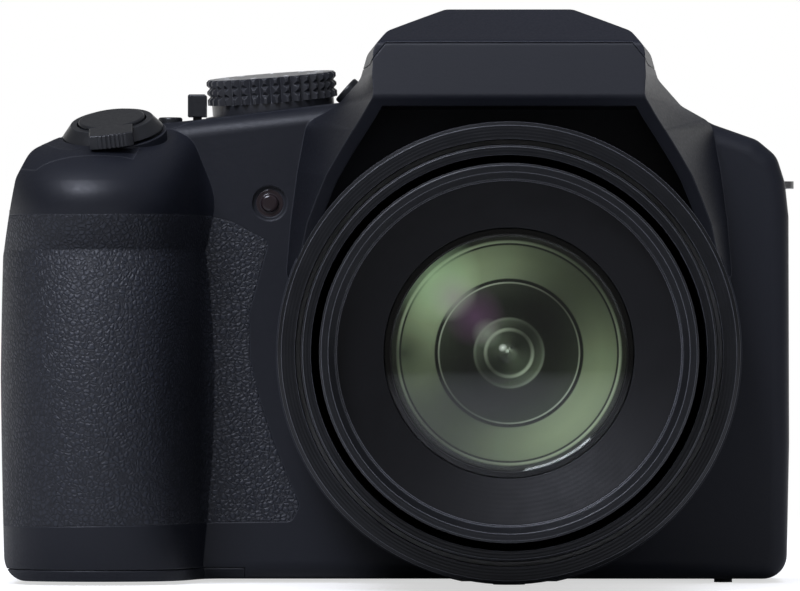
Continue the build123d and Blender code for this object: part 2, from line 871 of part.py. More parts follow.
with BuildPart() as base_cover:
    add(outer_form.part)
    add(base_room(0), mode=Mode.INTERSECT)
    add(lens_bore.part, mode=Mode.SUBTRACT)
    with BuildSketch(Plane.XY.offset(-overrun)):
        Polygon(*door_outline, align=None)
        Polygon(
            (door_neck_x, door_neck_y), (door_right_x + hinge_relief, door_bend_y),
            (door_right_x + hinge_relief, door_back_y), (door_right_x, door_back_y),
            align=None,
        )
        offset(amount=fit_gap, kind=Kind.INTERSECTION)
        with Locations((door_right_x, ear_spans[0][0])):
            Rectangle(
                hinge_x + knuckle_r + 2 * fit_gap - door_right_x, ear_spans[1][1] - ear_spans[0][0],
                align=(Align.MIN, Align.MIN),
            )
        Circle(socket_flange_r)
    extrude(amount=2 * overrun, mode=Mode.SUBTRACT)
    with BuildSketch(Plane.XY):
        with Locations(*screw_places):
            Circle(screw_head_r + seam_gap)
    extrude(amount=screw_head, mode=Mode.SUBTRACT)
    with BuildSketch(Plane.XY):
        with Locations(*screw_places):
            Circle(screw_r + seam_gap)
    extrude(amount=2 * base_thick, mode=Mode.SUBTRACT)
    with BuildSketch(Plane.XY):
        with Locations(
            (foot_right_x, foot_rear_y), (foot_left_x, foot_rear_y), (foot_right_x, screw_front_y),
        ):
            Circle(foot_side_r)
    extrude(amount=-foot_high)
    for front, back in ear_spans:
        with BuildSketch(facing(back)):
            with Locations((hinge_x, hinge_z)):
                Circle(knuckle_r)
            with Locations((hinge_x, hinge_z - knuckle_r)):
                Rectangle(knuckle_r + 3 * fit_gap, knuckle_r, align=(Align.MIN, Align.MIN))
        extrude(amount=back - front)
        with BuildSketch(facing(back)):
            with Locations((hinge_x, hinge_z)):
                Circle(door_pin_r)
        extrude(amount=back - front, mode=Mode.SUBTRACT)
save(base_cover.part, "base_cover")

# Strap lugs: a steel eye on each side, let through the casing's wall
with BuildPart() as strap_lugs:
    for x, z in ((lug_out_left_x + lug_size / 2, lug_left_z), (lug_out_right_x - lug_size / 2, lug_right_z)):
        with BuildSketch(Plane.XY.offset(z - lug_band / 2)):
            with Locations((x, 0)):
                RectangleRounded(lug_size, lug_size, lug_round)
                RectangleRounded(
                    lug_size - 2 * lug_band, lug_size - 2 * lug_band, lug_round - lug_band, mode=Mode.SUBTRACT
                )
        extrude(amount=lug_band)
save(strap_lugs.part, "strap_lugs")

# Rear casing with the screen recess, key holes, finder tube, dial shelf and board posts
cursor_keys = {"cursor_right": 0.0, "cursor_up": 90.0, "cursor_left": 180.0, "cursor_down": 270.0}
small_keys = {
    "af_lock_button": (af_lock_x, af_lock_z),
    "viewfinder_button": (finder_key_x, finder_key_z),
    "playback_button": (play_key_x, play_key_z),
    "display_button": (display_key_x, display_key_z),
}


def key_shape(angle):
    """Sector hole of the cursor pad, drawn in the open sketch about the pad's centre."""
    half = math.radians((90.0 - key_gap_deg) / 2)
    far = 2 * key_outer_r
    turn = math.radians(angle)
    Circle(key_outer_r)
    Circle(key_inner_r, mode=Mode.SUBTRACT)
    Polygon(
        (0, 0), (far * math.cos(turn - half), far * math.sin(turn - half)),
        (far * math.cos(turn), far * math.sin(turn)),
        (far * math.cos(turn + half), far * math.sin(turn + half)),
        align=None, mode=Mode.INTERSECT,
    )


pad_plane = facing_back(rear_y, key_pad_x, key_pad_z)
finder_plane = facing_back(hump_rear_y, z=eyepiece_z)
wheel_y = rear_y + wheel_proud - wheel_r
wheel_low_z = wheel_z - wheel_high / 2
diopter_y = hump_rear_y + diopter_proud - diopter_r
side_hinge_y = side_door_front_y + fit_gap + side_door_thick / 2
post_places = [
    (board_left_x + 2 * post_r, board_low_z + 2 * post_r),
    (board_left_x + 2 * post_r, board_top_z - 2 * post_r),
    (board_right_x - post_r, board_top_z - 2 * post_r),
    (board_right_x - post_r, board_low_z + 2 * post_r),
]

with BuildPart() as rear_casing:
    add(shell.part)
    split(bisect_by=facing(rear_seam_y), keep=Keep.BOTTOM)
    add(base_room(seam_gap), mode=Mode.SUBTRACT)
    add(top_room.part, mode=Mode.SUBTRACT)
    add(dial_clear.part, mode=Mode.SUBTRACT)
    with BuildSketch(facing_back(rear_y, screen_x, screen_z)):
        Rectangle(screen_wide, screen_high)
    extrude(amount=-screen_glass, mode=Mode.SUBTRACT)
    with BuildSketch(facing_back(rear_y, screen_x, screen_z)):
        Rectangle(screen_wide - 2 * screen_lip, screen_high - 2 * screen_lip)
    extrude(amount=-2 * wall, mode=Mode.SUBTRACT)
    for angle in cursor_keys.values():
        with BuildSketch(pad_plane):
            key_shape(angle)
        extrude(amount=-2 * wall, mode=Mode.SUBTRACT)
    add(round_cut(pad_plane, menu_r + button_gap, 2 * wall), mode=Mode.SUBTRACT)
    for x, z in small_keys.values():
        add(round_cut(facing_back(rear_y, x, z), small_key_r + button_gap, 2 * wall), mode=Mode.SUBTRACT)
    with BuildSketch(facing_back(rear_y, thumb_x, thumb_z)):
        RectangleRounded(thumb_wide, thumb_high, thumb_round)
    extrude(amount=-thumb_recess, mode=Mode.SUBTRACT)
    with BuildSketch(finder_plane):
        Rectangle(eye_hole_wide + finder_tube_wall, eye_hole_high + finder_tube_wall)
    extrude(amount=finder_tube_y - hump_rear_y)
    with BuildSketch(finder_plane):
        RectangleRounded(
            eye_hole_wide - finder_tube_wall, eye_hole_high - finder_tube_wall,
            eye_hole_round - finder_tube_wall,
        )
    extrude(amount=finder_tube_y - hump_rear_y, mode=Mode.SUBTRACT)
    with BuildSketch(finder_plane):
        RectangleRounded(eye_hole_wide, eye_hole_high, eye_hole_round)
    extrude(amount=eye_glass_y - hump_rear_y, mode=Mode.SUBTRACT)
    with BuildSketch(facing_back(rear_y, wheel_x, wheel_z)):
        Rectangle(2 * wheel_r, wheel_high + 2 * fit_gap)
    extrude(amount=-2 * wall, mode=Mode.SUBTRACT)
    with BuildSketch(Plane.XY.offset(wheel_low_z - fit_gap)):
        with Locations((wheel_x, wheel_y)):
            Rectangle(2 * wheel_shelf_half, rear_y - wall / 2 - wheel_y, align=(Align.CENTER, Align.MIN))
            Circle(wheel_shelf_half)
    extrude(amount=-wheel_shelf)
    with BuildSketch(Plane.XY.offset(wheel_low_z - fit_gap)):
        with Locations((wheel_x, wheel_y)):
            Circle(wheel_bore_r - run_gap)
    extrude(amount=wheel_high + fit_gap)
    with BuildSketch(facing_back(hump_rear_y, diopter_x, eyepiece_z)):
        Rectangle(diopter_wide + 2 * fit_gap, 2 * (diopter_r + fit_gap))
    extrude(amount=-2 * wall - diopter_r, mode=Mode.SUBTRACT)
    for side in (-1, 1):
        with BuildSketch(side_plane(diopter_x + side * (diopter_wide / 2 + fit_gap))):
            with Locations((diopter_y, eyepiece_z)):
                Rectangle(2 * (hump_rear_y - wall / 2 - diopter_y), 4 * diopter_pin_r)
        extrude(amount=side * diopter_cheek)
    with BuildSketch(side_plane(diopter_x - diopter_wide / 2 - diopter_cheek)):
        with Locations((diopter_y, eyepiece_z)):
            Circle(diopter_pin_r)
    extrude(amount=diopter_wide + 2 * diopter_cheek)
    for x, z in post_places:
        with BuildSketch(facing_back(board_y, x, z)):
            Circle(post_r)
        extrude(amount=rear_y - wall + seam_gap - board_y)
    with BuildSketch(side_plane(right_reach - 2 * wall)):
        with Locations((side_door_front_y, side_door_z)):
            Rectangle(side_door_long, side_door_high, align=(Align.MIN, Align.MIN))
    extrude(amount=3 * wall, mode=Mode.SUBTRACT)
    with BuildSketch(Plane.XY.offset(side_door_z - side_pintle)):
        with Locations((side_door_x, side_hinge_y)):
            Circle(side_pintle_r + run_gap)
    extrude(amount=side_door_high + 2 * side_pintle, mode=Mode.SUBTRACT)
    for x, y in screw_places[:2]:
        add(boss(x, y, rear_y - wall + seam_gap))
    add(strap_lugs.part, mode=Mode.SUBTRACT)
save(rear_casing.part, "rear_casing")

# Thumb pad, seated in its recess
with BuildPart() as thumb_rubber:
    with BuildSketch(facing_back(rear_y - thumb_recess, thumb_x, thumb_z)):
        RectangleRounded(thumb_wide - 2 * seam_gap, thumb_high - 2 * seam_gap, thumb_round - seam_gap)
    extrude(amount=thumb_recess + thumb_proud)
    fillet(thumb_rubber.faces().sort_by(Axis.Y)[-1].edges(), radius=soft_share * thumb_proud)
save(thumb_rubber.part, "thumb_rubber")

# Casing screws in the base
with BuildPart() as casing_screws:
    with BuildSketch(Plane.XY):
        with Locations(*screw_places):
            Circle(screw_head_r)
    extrude(amount=screw_head)
    with BuildSketch(Plane.XY):
        with Locations(*screw_places):
            Circle(screw_r)
    extrude(amount=screw_long)
    with BuildSketch(Plane.XY):
        with Locations(*screw_places):
            Rectangle(2 * screw_r, screw_r / 2)
            Rectangle(screw_r / 2, 2 * screw_r)
    extrude(amount=screw_head / 2, mode=Mode.SUBTRACT)
save(casing_screws.part, "casing_screws")

# Tripod socket: a flanged blind insert, its mouth in the base face
with BuildPart() as tripod_socket:
    with BuildSketch(Plane.XY):
        Circle(socket_flange_r)
    extrude(amount=base_thick)
    with BuildSketch(Plane.XY):
        RegularPolygon(socket_flange_r - wall / 2, 6)
    extrude(amount=socket_deep + socket_roof)
    with BuildSketch(Plane.XY):
        Circle(socket_r)
    extrude(amount=socket_deep, mode=Mode.SUBTRACT)
save(tripod_socket.part, "tripod_socket")

# Focus lamp window: a domed lamp in its ring
with BuildPart() as af_lamp_window:
    add(round_cut(facing(shoulder_y + lamp_recess, lamp_x, lamp_z), lamp_ring_r, lamp_long - lamp_recess))
    add(round_cut(facing(shoulder_y, lamp_x, lamp_z), lamp_r, lamp_recess))
    fillet(af_lamp_window.faces().sort_by(Axis.Y)[0].edges(), radius=soft_share * lamp_recess)
save(af_lamp_window.part, "af_lamp_window")


def push_key(plane, radius, wall_in):
    """Round sprung button: a cap through its hole and a flange that keeps it behind the wall."""
    with BuildPart() as key:
        with BuildSketch(plane.offset(button_proud)):
            Circle(radius)
        extrude(amount=-button_proud - wall_in - flange_thick)
        fillet(key.edges().sort_by(Axis(plane.origin, plane.z_dir))[-1], radius=key_round)
        with BuildSketch(plane.offset(-wall_in - flange_thick)):
            Circle(radius + flange)
        extrude(amount=-flange_thick)
    return key.part


# Buttons of the top cover and the back
record_plane = Plane.XY.offset(record_z).move(Location((record_x, record_y, 0)))
function_plane = Plane.XY.offset(function_z).move(Location((function_x, function_y, 0)))
save(push_key(record_plane, record_r, wall), "record_button")
save(push_key(function_plane, function_r, wall), "function_button")
save(push_key(pad_plane, menu_r, wall), "menu_button")
for name, (x, z) in small_keys.items():
    save(push_key(facing_back(rear_y, x, z), small_key_r, wall), name)

for name, angle in cursor_keys.items():
    with BuildPart() as cursor_key:
        with BuildSketch(pad_plane.offset(button_proud)):
            key_shape(angle)
            offset(amount=-button_gap)
        extrude(amount=-button_proud - button_deep)
        fillet(cursor_key.faces().sort_by(Axis.Y)[-1].edges(), radius=key_round)
    save(cursor_key.part, name)

with BuildPart() as flash_button:
    with BuildSketch(flank_plane.offset(flash_button_proud)):
        Circle(flash_button_r)
    extrude(amount=-flash_button_proud - flash_button_deep)
    fillet(flash_button.edges().sort_by(Axis(flank_plane.origin, flank_plane.z_dir))[-1], radius=key_round)
save(flash_button.part, "flash_button")

# Power switch: a block sliding on the cover, its stem through the slot
with BuildPart() as power_switch:
    with BuildSketch(Plane.XY.offset(switch_low_z)):
        with Locations((switch_x, switch_y)):
            Rectangle(switch_wide, switch_long)
    extrude(amount=switch_top_z - switch_low_z)
    fillet(power_switch.faces().sort_by(Axis.Z)[-1].edges(), radius=key_round)
    with BuildSketch(Plane.XY.offset(switch_low_z)):
        with Locations((switch_x, switch_y)):
            Rectangle(switch_stem_wide, switch_stem_long)
    extrude(amount=switch_stem_low_z - switch_low_z)
save(power_switch.part, "power_switch")

# Shutter button and the zoom lever round it, on their leaning seat
lever_up = Axis(lever_plane.origin, lever_plane.z_dir)
with BuildPart() as shutter_button:
    with BuildSketch(lever_plane.offset(shutter_top)):
        Circle(shutter_r)
    extrude(amount=shutter_low - shutter_top)
    fillet(shutter_button.edges().sort_by(lever_up)[-1], radius=key_round)
    with BuildSketch(lever_plane.offset(shutter_low)):
        Circle(shutter_stem_r)
    extrude(amount=-shutter_low - shutter_stem)
save(shutter_button.part, "shutter_button")

lever_front = Plane(
    origin=lever_plane.from_local_coords((0, -lever_tab_end, 0)),
    x_dir=lever_plane.x_dir, z_dir=lever_plane.z_dir,
)
with BuildPart() as zoom_lever:
    with BuildSketch(lever_plane.offset(lever_low)):
        Circle(lever_r)
    with BuildSketch(lever_plane.offset(lever_high)):
        Circle(lever_top_r)
    loft()
    with BuildSketch(lever_plane.offset(lever_low)):
        Circle(lever_tab_end)
        with Locations((0, -lever_tab_end)):
            Rectangle(lever_tab_wide, 2 * (lever_tab_end - lever_bore_r), mode=Mode.INTERSECT)
    extrude(amount=lever_tab_top - lever_low)
    fillet(zoom_lever.faces().sort_by(lever_up)[-1].edges(), radius=tab_round)
    with BuildSketch(lever_plane.offset(lever_low - fit_gap)):
        Circle(lever_tab_end + fit_gap)
        Circle(lever_r, mode=Mode.SUBTRACT)
    extrude(amount=fit_gap + lever_tab_low - lever_low, mode=Mode.SUBTRACT)
    with BuildSketch(lever_plane.offset(lever_low)):
        Circle(lever_spigot_r)
    extrude(amount=-lever_low - lever_spigot)
    with BuildSketch(lever_plane.offset(-lever_spigot)):
        Circle(lever_bore_r)
    extrude(amount=lever_spigot + lever_tab_top, mode=Mode.SUBTRACT)
    with BuildSketch(lever_front):
        with GridLocations(tab_pitch, 0, tab_grooves, 1):
            Rectangle(tab_groove, 2 * tab_groove)
    extrude(amount=lever_tab_top, mode=Mode.SUBTRACT)
save(zoom_lever.part, "zoom_lever")

# Mode dial: skirt, rim knurled in rows, stem through its seat
dial_section = Plane(origin=dial_plane.origin, x_dir=dial_plane.x_dir, z_dir=-dial_plane.y_dir)
row_high = (dial_high - dial_skirt_high) / dial_rows
with BuildPart() as mode_dial:
    with BuildSketch(dial_section):
        Polygon(
            (0, fit_gap), (dial_skirt_r, fit_gap), (dial_skirt_r, dial_skirt_high),
            (dial_r, dial_skirt_high), (dial_r, dial_high - key_round), (dial_r - key_round, dial_high),
            (0, dial_high),
            align=None,
        )
        for row in range(1, dial_rows):
            level = dial_skirt_high + row * row_high
            Polygon(
                (dial_r - dial_row_deep, level), (dial_r + fit_gap, level - dial_row_deep - fit_gap),
                (dial_r + fit_gap, level + dial_row_deep + fit_gap), align=None, mode=Mode.SUBTRACT,
            )
    revolve(axis=Axis(dial_plane.origin, dial_plane.z_dir))
    with BuildSketch(dial_plane.offset(dial_skirt_high)):
        with PolarLocations(dial_r, dial_knurls):
            Polygon((-knurl_deep, 0), (knurl_deep, -2 * knurl_deep), (knurl_deep, 2 * knurl_deep), align=None)
    extrude(amount=dial_high, mode=Mode.SUBTRACT)
    with BuildSketch(dial_plane.offset(fit_gap)):
        Circle(dial_stem_r)
    extrude(amount=-fit_gap - dial_stem_deep)
save(mode_dial.part, "mode_dial")

# Rear dial and diopter wheel, ridged round the rim
with BuildPart() as rear_dial:
    with BuildSketch(Plane.XY.offset(wheel_low_z)):
        with Locations((wheel_x, wheel_y)):
            Circle(wheel_r)
            Circle(wheel_bore_r, mode=Mode.SUBTRACT)
            with PolarLocations(wheel_r, wheel_ridges):
                Rectangle(2 * wheel_ridge, wheel_ridge, mode=Mode.SUBTRACT)
    extrude(amount=wheel_high)
save(rear_dial.part, "rear_dial")

with BuildPart() as diopter_wheel:
    with BuildSketch(side_plane(diopter_x - diopter_wide / 2)):
        with Locations((diopter_y, eyepiece_z)):
            Circle(diopter_r)
            Circle(diopter_pin_r + run_gap, mode=Mode.SUBTRACT)
            with PolarLocations(diopter_r, diopter_ridges):
                Rectangle(wheel_ridge, wheel_ridge, mode=Mode.SUBTRACT)
    extrude(amount=diopter_wide)
save(diopter_wheel.part, "diopter_wheel")

# Flash cover: a shell over the head, its solid back end bored for the hinge pin
with BuildPart() as lid_hollow:
    add(hood_form(lid_wall))
    split(bisect_by=facing(flash_hinge_y - ear_r - lid_wall), keep=Keep.TOP)

with BuildPart() as flash_cover:
    add(outer_form.part)
    add(lid_room(0, knuckle_reach), mode=Mode.INTERSECT)
    add(lid_hollow.part, mode=Mode.SUBTRACT)
    for side in (-1, 1):
        with BuildSketch(side_plane(side * (ear_in - fit_gap))):
            with Locations((flash_hinge_y - ear_r - fit_gap, lid_side_z - overrun)):
                Rectangle(2 * overrun, body_height, align=(Align.MIN, Align.MIN))
        extrude(amount=side * (ear_thick + 2 * fit_gap), mode=Mode.SUBTRACT)
    with BuildSketch(side_plane(-ear_in)):
        with Locations((flash_hinge_y, flash_hinge_z)):
            Circle(flash_pin_r + run_gap)
    extrude(amount=2 * ear_in, mode=Mode.SUBTRACT)
save(flash_cover.part, "flash_cover")

with BuildPart() as flash_hinge_pin:
    with BuildSketch(side_plane(-ear_span)):
        with Locations((flash_hinge_y, flash_hinge_z)):
            Circle(flash_pin_r)
    extrude(amount=2 * ear_span)
save(flash_hinge_pin.part, "flash_hinge_pin")

# Flash head under the cover: its slanted face looks ahead once the cover is up
face_mid = (0, (head_front_y + head_low_y) / 2, (head_front_z + head_low_z) / 2)
face_out = (0, head_low_z - head_front_z, head_front_y - head_low_y)
head_face = Plane(origin=face_mid, x_dir=(1, 0, 0), z_dir=face_out)

with BuildPart() as flash_head:
    with BuildSketch(side_plane(-flash_head_half)):
        Polygon(
            (head_front_y, head_front_z), (head_low_y, head_low_z), (head_back_y, head_low_z),
            (head_back_y, head_back_z), (head_ridge_y, head_back_z), align=None,
        )
    extrude(amount=2 * flash_head_half)
    add(lid_hollow.part, mode=Mode.INTERSECT)
    with BuildSketch(head_face):
        Rectangle(head_pocket_wide, head_pocket_high)
    extrude(amount=-head_pocket_deep, mode=Mode.SUBTRACT)
save(flash_head.part, "flash_head")

with BuildPart() as flash_window:
    with BuildSketch(head_face):
        Rectangle(flash_window_wide, flash_window_high)
    extrude(amount=flash_window_thick)
save(flash_window.part, "flash_window")

with BuildPart() as flash_tube:
    with BuildSketch(side_plane(-head_pocket_wide / 2)):
        pocket_mid = head_face.from_local_coords((0, 0, -head_pocket_deep / 2))
        with Locations((pocket_mid.Y, pocket_mid.Z)):
            Circle(flash_tube_r)
    extrude(amount=head_pocket_wide)
save(flash_tube.part, "flash_tube")

# Lens: fixed barrel with the sensor's floor, its mounting ears, the motor's bracket and the gear's window
pitch_r = cam_teeth * gear_module / 2
pinion_r = pinion_teeth * gear_module / 2
pinion_x = -pitch_r - pinion_r - gear_slack
floor_y = barrel_back_y - barrel_floor
ear_back_y = shoulder_y + wall + barrel_ear_thick

with BuildPart() as fixed_barrel:
    add(turned([
        (trim_back_y, barrel_inner_r), (trim_back_y, barrel_r), (barrel_tail_y, barrel_r),
        (barrel_tail_y, barrel_tail_r), (barrel_back_y, barrel_tail_r), (barrel_back_y, sensor_hole_r),
        (floor_y, sensor_hole_r), (floor_y, barrel_inner_r),
    ]))
    with BuildSketch(facing(ear_back_y, z=axis_z)):
        Rectangle(2 * barrel_ear_reach, 2 * barrel_ear_half)
        Circle((barrel_tail_r + barrel_inner_r) / 2, mode=Mode.SUBTRACT)
    extrude(amount=barrel_ear_thick)
    with BuildSketch(facing(bracket_y + bracket_thick, z=axis_z)):
        with Locations((pinion_x - bracket_half, 0)):
            Rectangle(
                bracket_half - pinion_x - barrel_inner_r, 2 * bracket_half, align=(Align.MIN, Align.CENTER)
            )
        Circle((barrel_tail_r + barrel_inner_r) / 2, mode=Mode.SUBTRACT)
        with Locations((pinion_x, 0)):
            Circle(motor_shaft_r + run_gap, mode=Mode.SUBTRACT)
    extrude(amount=bracket_thick)
    with BuildSketch(facing(gear_y + fit_gap, pinion_x, axis_z)):
        Circle(pinion_r + tooth_out + fit_gap)
    extrude(amount=gear_wide + 2 * fit_gap, mode=Mode.SUBTRACT)
save(fixed_barrel.part, "fixed_barrel")

with BuildPart() as trim_ring:
    add(turned([
        (trim_y, trim_inner_r), (trim_y, trim_r - trim_bevel), (trim_y + trim_bevel, trim_r),
        (trim_back_y, trim_r), (trim_back_y, trim_inner_r),
    ]))
save(trim_ring.part, "trim_ring")


def toothed(teeth, radius, phase):
    """Straight-sided teeth of a gear, drawn in the open sketch about the local origin."""
    pitch = 360.0 / teeth
    root = radius - tooth_in - run_gap
    tip = radius + tooth_out
    for n in range(teeth):
        corners = []
        for share, r in (
            (-tooth_root_share, root), (-tooth_tip_share, tip),
            (tooth_tip_share, tip), (tooth_root_share, root),
        ):
            at = math.radians(phase + (n + share / 2) * pitch)
            corners.append((r * math.cos(at), r * math.sin(at)))
        Polygon(*corners, align=None)


with BuildPart() as cam_ring:
    add(turned([
        (cam_y, cam_inner_r), (cam_y, cam_r), (gear_y - gear_wide, cam_r),
        (gear_y - gear_wide, pitch_r - tooth_in), (gear_y, pitch_r - tooth_in), (gear_y, cam_r),
        (cam_back_y, cam_r), (cam_back_y, cam_inner_r),
    ]))
    with BuildSketch(facing(gear_y, z=axis_z)):
        toothed(cam_teeth, pitch_r, 180.0 / cam_teeth)
    extrude(amount=gear_wide)
save(cam_ring.part, "cam_ring")

with BuildPart() as zoom_gear:
    with BuildSketch(facing(gear_y, pinion_x, axis_z)):
        Circle(pinion_r - tooth_in)
        toothed(pinion_teeth, pinion_r, 0)
    extrude(amount=gear_wide)
    with BuildSketch(facing(bracket_y + bracket_thick + motor_grip, pinion_x, axis_z)):
        Circle(motor_shaft_r)
    extrude(amount=bracket_y + bracket_thick + motor_grip - gear_y)
save(zoom_gear.part, "zoom_gear")

with BuildPart() as zoom_motor:
    add(round_cut(facing(bracket_y + bracket_thick, pinion_x, axis_z), motor_r, motor_long))
    add(
        round_cut(facing(bracket_y + bracket_thick, pinion_x, axis_z), motor_shaft_r + run_gap, motor_grip + fit_gap),
        mode=Mode.SUBTRACT,
    )
save(zoom_motor.part, "zoom_motor")

with BuildPart() as middle_barrel:
    add(turned([
        (middle_y, middle_inner_r), (middle_y, middle_r - front_bevel), (middle_y + front_bevel, middle_r),
        (middle_back_y, middle_r), (middle_back_y, middle_inner_r),
    ]))
save(middle_barrel.part, "middle_barrel")

with BuildPart() as front_barrel:
    add(turned([
        (lens_front_y, front_mouth_r), (lens_front_y, front_r - front_bevel),
        (lens_front_y + front_bevel, front_r),
        (front_back_y - front_flange, front_r), (front_back_y - front_flange, front_flange_r),
        (front_back_y, front_flange_r), (front_back_y, front_tube_r), (cell_back_y, front_tube_r),
        (cell_back_y, cell_r), (glass_back_y, cell_r), (glass_back_y, front_tube_r),
        (name_ring_back_y, front_tube_r), (name_ring_back_y, name_ring_r), (thread_end_y, name_ring_r),
        (thread_end_y, thread_r), (lens_front_y + front_mouth_r - thread_r, thread_r),
    ]))
save(front_barrel.part, "front_barrel")

with BuildPart() as name_ring:
    add(turned([
        (name_ring_y, name_ring_r), (name_ring_y + name_ring_dip, name_ring_inner_r),
        (name_ring_back_y, name_ring_inner_r), (name_ring_back_y, name_ring_r),
    ]))
save(name_ring.part, "name_ring")


def dome(y, radius):
    """Middle and crown of a round face of the front glass whose rim lies at depth y."""
    half = math.asin(radius / glass_curve_r) / 2
    crown_y = y - glass_curve_r * (1 - math.cos(2 * half))
    return (crown_y + glass_curve_r * (1 - math.cos(half)), glass_curve_r * math.sin(half)), (crown_y, 0)


# Front glass: domed ahead, hollow behind
with BuildPart() as front_element:
    with BuildSketch(lens_section):
        with BuildLine():
            ahead_mid, ahead = dome(glass_edge_y, glass_r)
            behind_mid, behind = dome(glass_back_y, cell_r)
            ThreePointArc((glass_edge_y, glass_r), ahead_mid, ahead)
            Line(ahead, behind)
            ThreePointArc(behind, behind_mid, (glass_back_y, cell_r))
            Polyline((glass_back_y, cell_r), (glass_back_y, glass_r), (glass_edge_y, glass_r))
        make_face()
    revolve(axis=lens_axis)
save(front_element.part, "front_element")

# Guide rods from the barrel's floor, and the two carriages that run on them
with BuildPart() as guide_rods:
    with BuildSketch(facing(floor_y, z=axis_z)):
        with Locations((0, rod_place_r), (0, -rod_place_r)):
            Circle(rod_r)
    extrude(amount=floor_y - rod_tip_y)
save(guide_rods.part, "guide_rods")

for name, back_y, length, glass_radius in (
    ("zoom_group", zoom_group_y, zoom_group_long, carriage_glass_r),
    ("focus_group", focus_group_y, focus_group_long, focus_glass_r),
):
    with BuildPart() as carriage:
        with BuildSketch(facing(back_y, z=axis_z)):
            Circle(glass_radius + carriage_rim)
            Rectangle(2 * carriage_arm, 2 * carriage_reach)
            with Locations((0, rod_place_r), (0, -rod_place_r)):
                Circle(rod_r + run_gap, mode=Mode.SUBTRACT)
        extrude(amount=length)
        with BuildSketch(facing(back_y - length, z=axis_z)):
            Circle(glass_radius)
        extrude(amount=-glass_dip, mode=Mode.SUBTRACT)
    save(carriage.part, name)

with BuildPart() as iris_unit:
    with BuildSketch(facing(zoom_group_y + iris_thick, z=axis_z)):
        Circle(iris_r)
        RegularPolygon(iris_hole_r, 6, mode=Mode.SUBTRACT)
    extrude(amount=iris_thick)
save(iris_unit.part, "iris_unit")

with BuildPart() as sensor_board:
    with BuildSketch(facing(barrel_back_y + sensor_board_thick, z=axis_z)):
        Rectangle(2 * sensor_board_half, 2 * sensor_board_half)
    extrude(amount=sensor_board_thick)
    with BuildSketch(facing(barrel_back_y, z=axis_z)):
        Rectangle(sensor_wide, sensor_high)
    extrude(amount=sensor_thick)
save(sensor_board.part, "sensor_board")

# Viewfinder: eyecup, eyepiece glass and the display at the tube's far end
with BuildPart() as eyecup:
    with BuildSketch(finder_plane):
        RectangleRounded(eyecup_wide, eyecup_high, eyecup_round)
    extrude(amount=eyecup_y - hump_rear_y)
    fillet(eyecup.faces().sort_by(Axis.Y)[-1].edges(), radius=eyecup_lip)
    with BuildSketch(finder_plane):
        RectangleRounded(eye_hole_wide, eye_hole_high, eye_hole_round)
    extrude(amount=eyecup_y - hump_rear_y, mode=Mode.SUBTRACT)
save(eyecup.part, "eyecup")

with BuildPart() as eyepiece_lens:
    with BuildSketch(facing_back(eye_glass_y, z=eyepiece_z)):
        RectangleRounded(
            eye_hole_wide - 2 * eye_glass_gap, eye_hole_high - 2 * eye_glass_gap,
            eye_hole_round - eye_glass_gap,
        )
    extrude(amount=eye_glass_thick)
    fillet(eyepiece_lens.faces().sort_by(Axis.Y)[-1].edges(), radius=eye_glass_thick / 4)
save(eyepiece_lens.part, "eyepiece_lens")

with BuildPart() as viewfinder_display:
    with BuildSketch(facing(finder_tube_y, z=eyepiece_z)):
        Rectangle(eye_hole_wide + finder_tube_wall, eye_hole_high + finder_tube_wall)
    extrude(amount=finder_panel_thick)
save(viewfinder_display.part, "viewfinder_display")

# Screen window and the panel behind it
with BuildPart() as screen_window:
    with BuildSketch(facing_back(rear_y - screen_glass, screen_x, screen_z)):
        Rectangle(screen_wide - 2 * seam_gap, screen_high - 2 * seam_gap)
    extrude(amount=screen_glass)
save(screen_window.part, "screen_window")

with BuildPart() as screen_panel:
    with BuildSketch(facing_back(rear_y - screen_glass, screen_x, screen_z)):
        Rectangle(screen_wide - 2 * screen_lip - 2 * fit_gap, screen_high - 2 * screen_lip - 2 * fit_gap)
    extrude(amount=-screen_panel_thick)
save(screen_panel.part, "screen_panel")

# Battery door with its knuckle, pin and latch
with BuildPart() as battery_door:
    with BuildSketch(Plane.XY):
        Polygon(*door_outline, align=None)
    extrude(amount=door_thick)
    with BuildSketch(facing(knuckle_back_y)):
        with Locations((hinge_x, hinge_z)):
            Circle(knuckle_r)
        with Locations((door_right_x - knuckle_r, hinge_z - knuckle_r)):
            Rectangle(
                hinge_x - door_right_x + knuckle_r, door_thick + knuckle_r - hinge_z, align=(Align.MIN, Align.MIN)
            )
    extrude(amount=knuckle_back_y - knuckle_front_y)
    with BuildSketch(facing(knuckle_back_y)):
        with Locations((hinge_x, hinge_z)):
            Circle(door_pin_r + run_gap)
    extrude(amount=knuckle_back_y - knuckle_front_y, mode=Mode.SUBTRACT)
    with BuildSketch(Plane.XY):
        with Locations((latch_x, latch_y + latch_travel / 2)):
            Rectangle(latch_wide + 2 * seam_gap, latch_long + latch_travel + 2 * seam_gap)
    extrude(amount=latch_thick, mode=Mode.SUBTRACT)
save(battery_door.part, "battery_door")

with BuildPart() as battery_door_pin:
    with BuildSketch(facing(ear_spans[1][1])):
        with Locations((hinge_x, hinge_z)):
            Circle(door_pin_r)
    extrude(amount=ear_spans[1][1] - ear_spans[0][0])
save(battery_door_pin.part, "battery_door_pin")

with BuildPart() as battery_latch:
    with BuildSketch(Plane.XY):
        with Locations((latch_x, latch_y)):
            Rectangle(latch_wide, latch_long)
    extrude(amount=latch_thick)
    with BuildSketch(Plane.XY):
        with Locations((latch_x, latch_y)):
            with GridLocations(0, 4 * latch_rib, 1, latch_ribs):
                Rectangle(latch_wide - 2 * latch_rib, latch_rib)
    extrude(amount=latch_rib, mode=Mode.SUBTRACT)
save(battery_latch.part, "battery_latch")

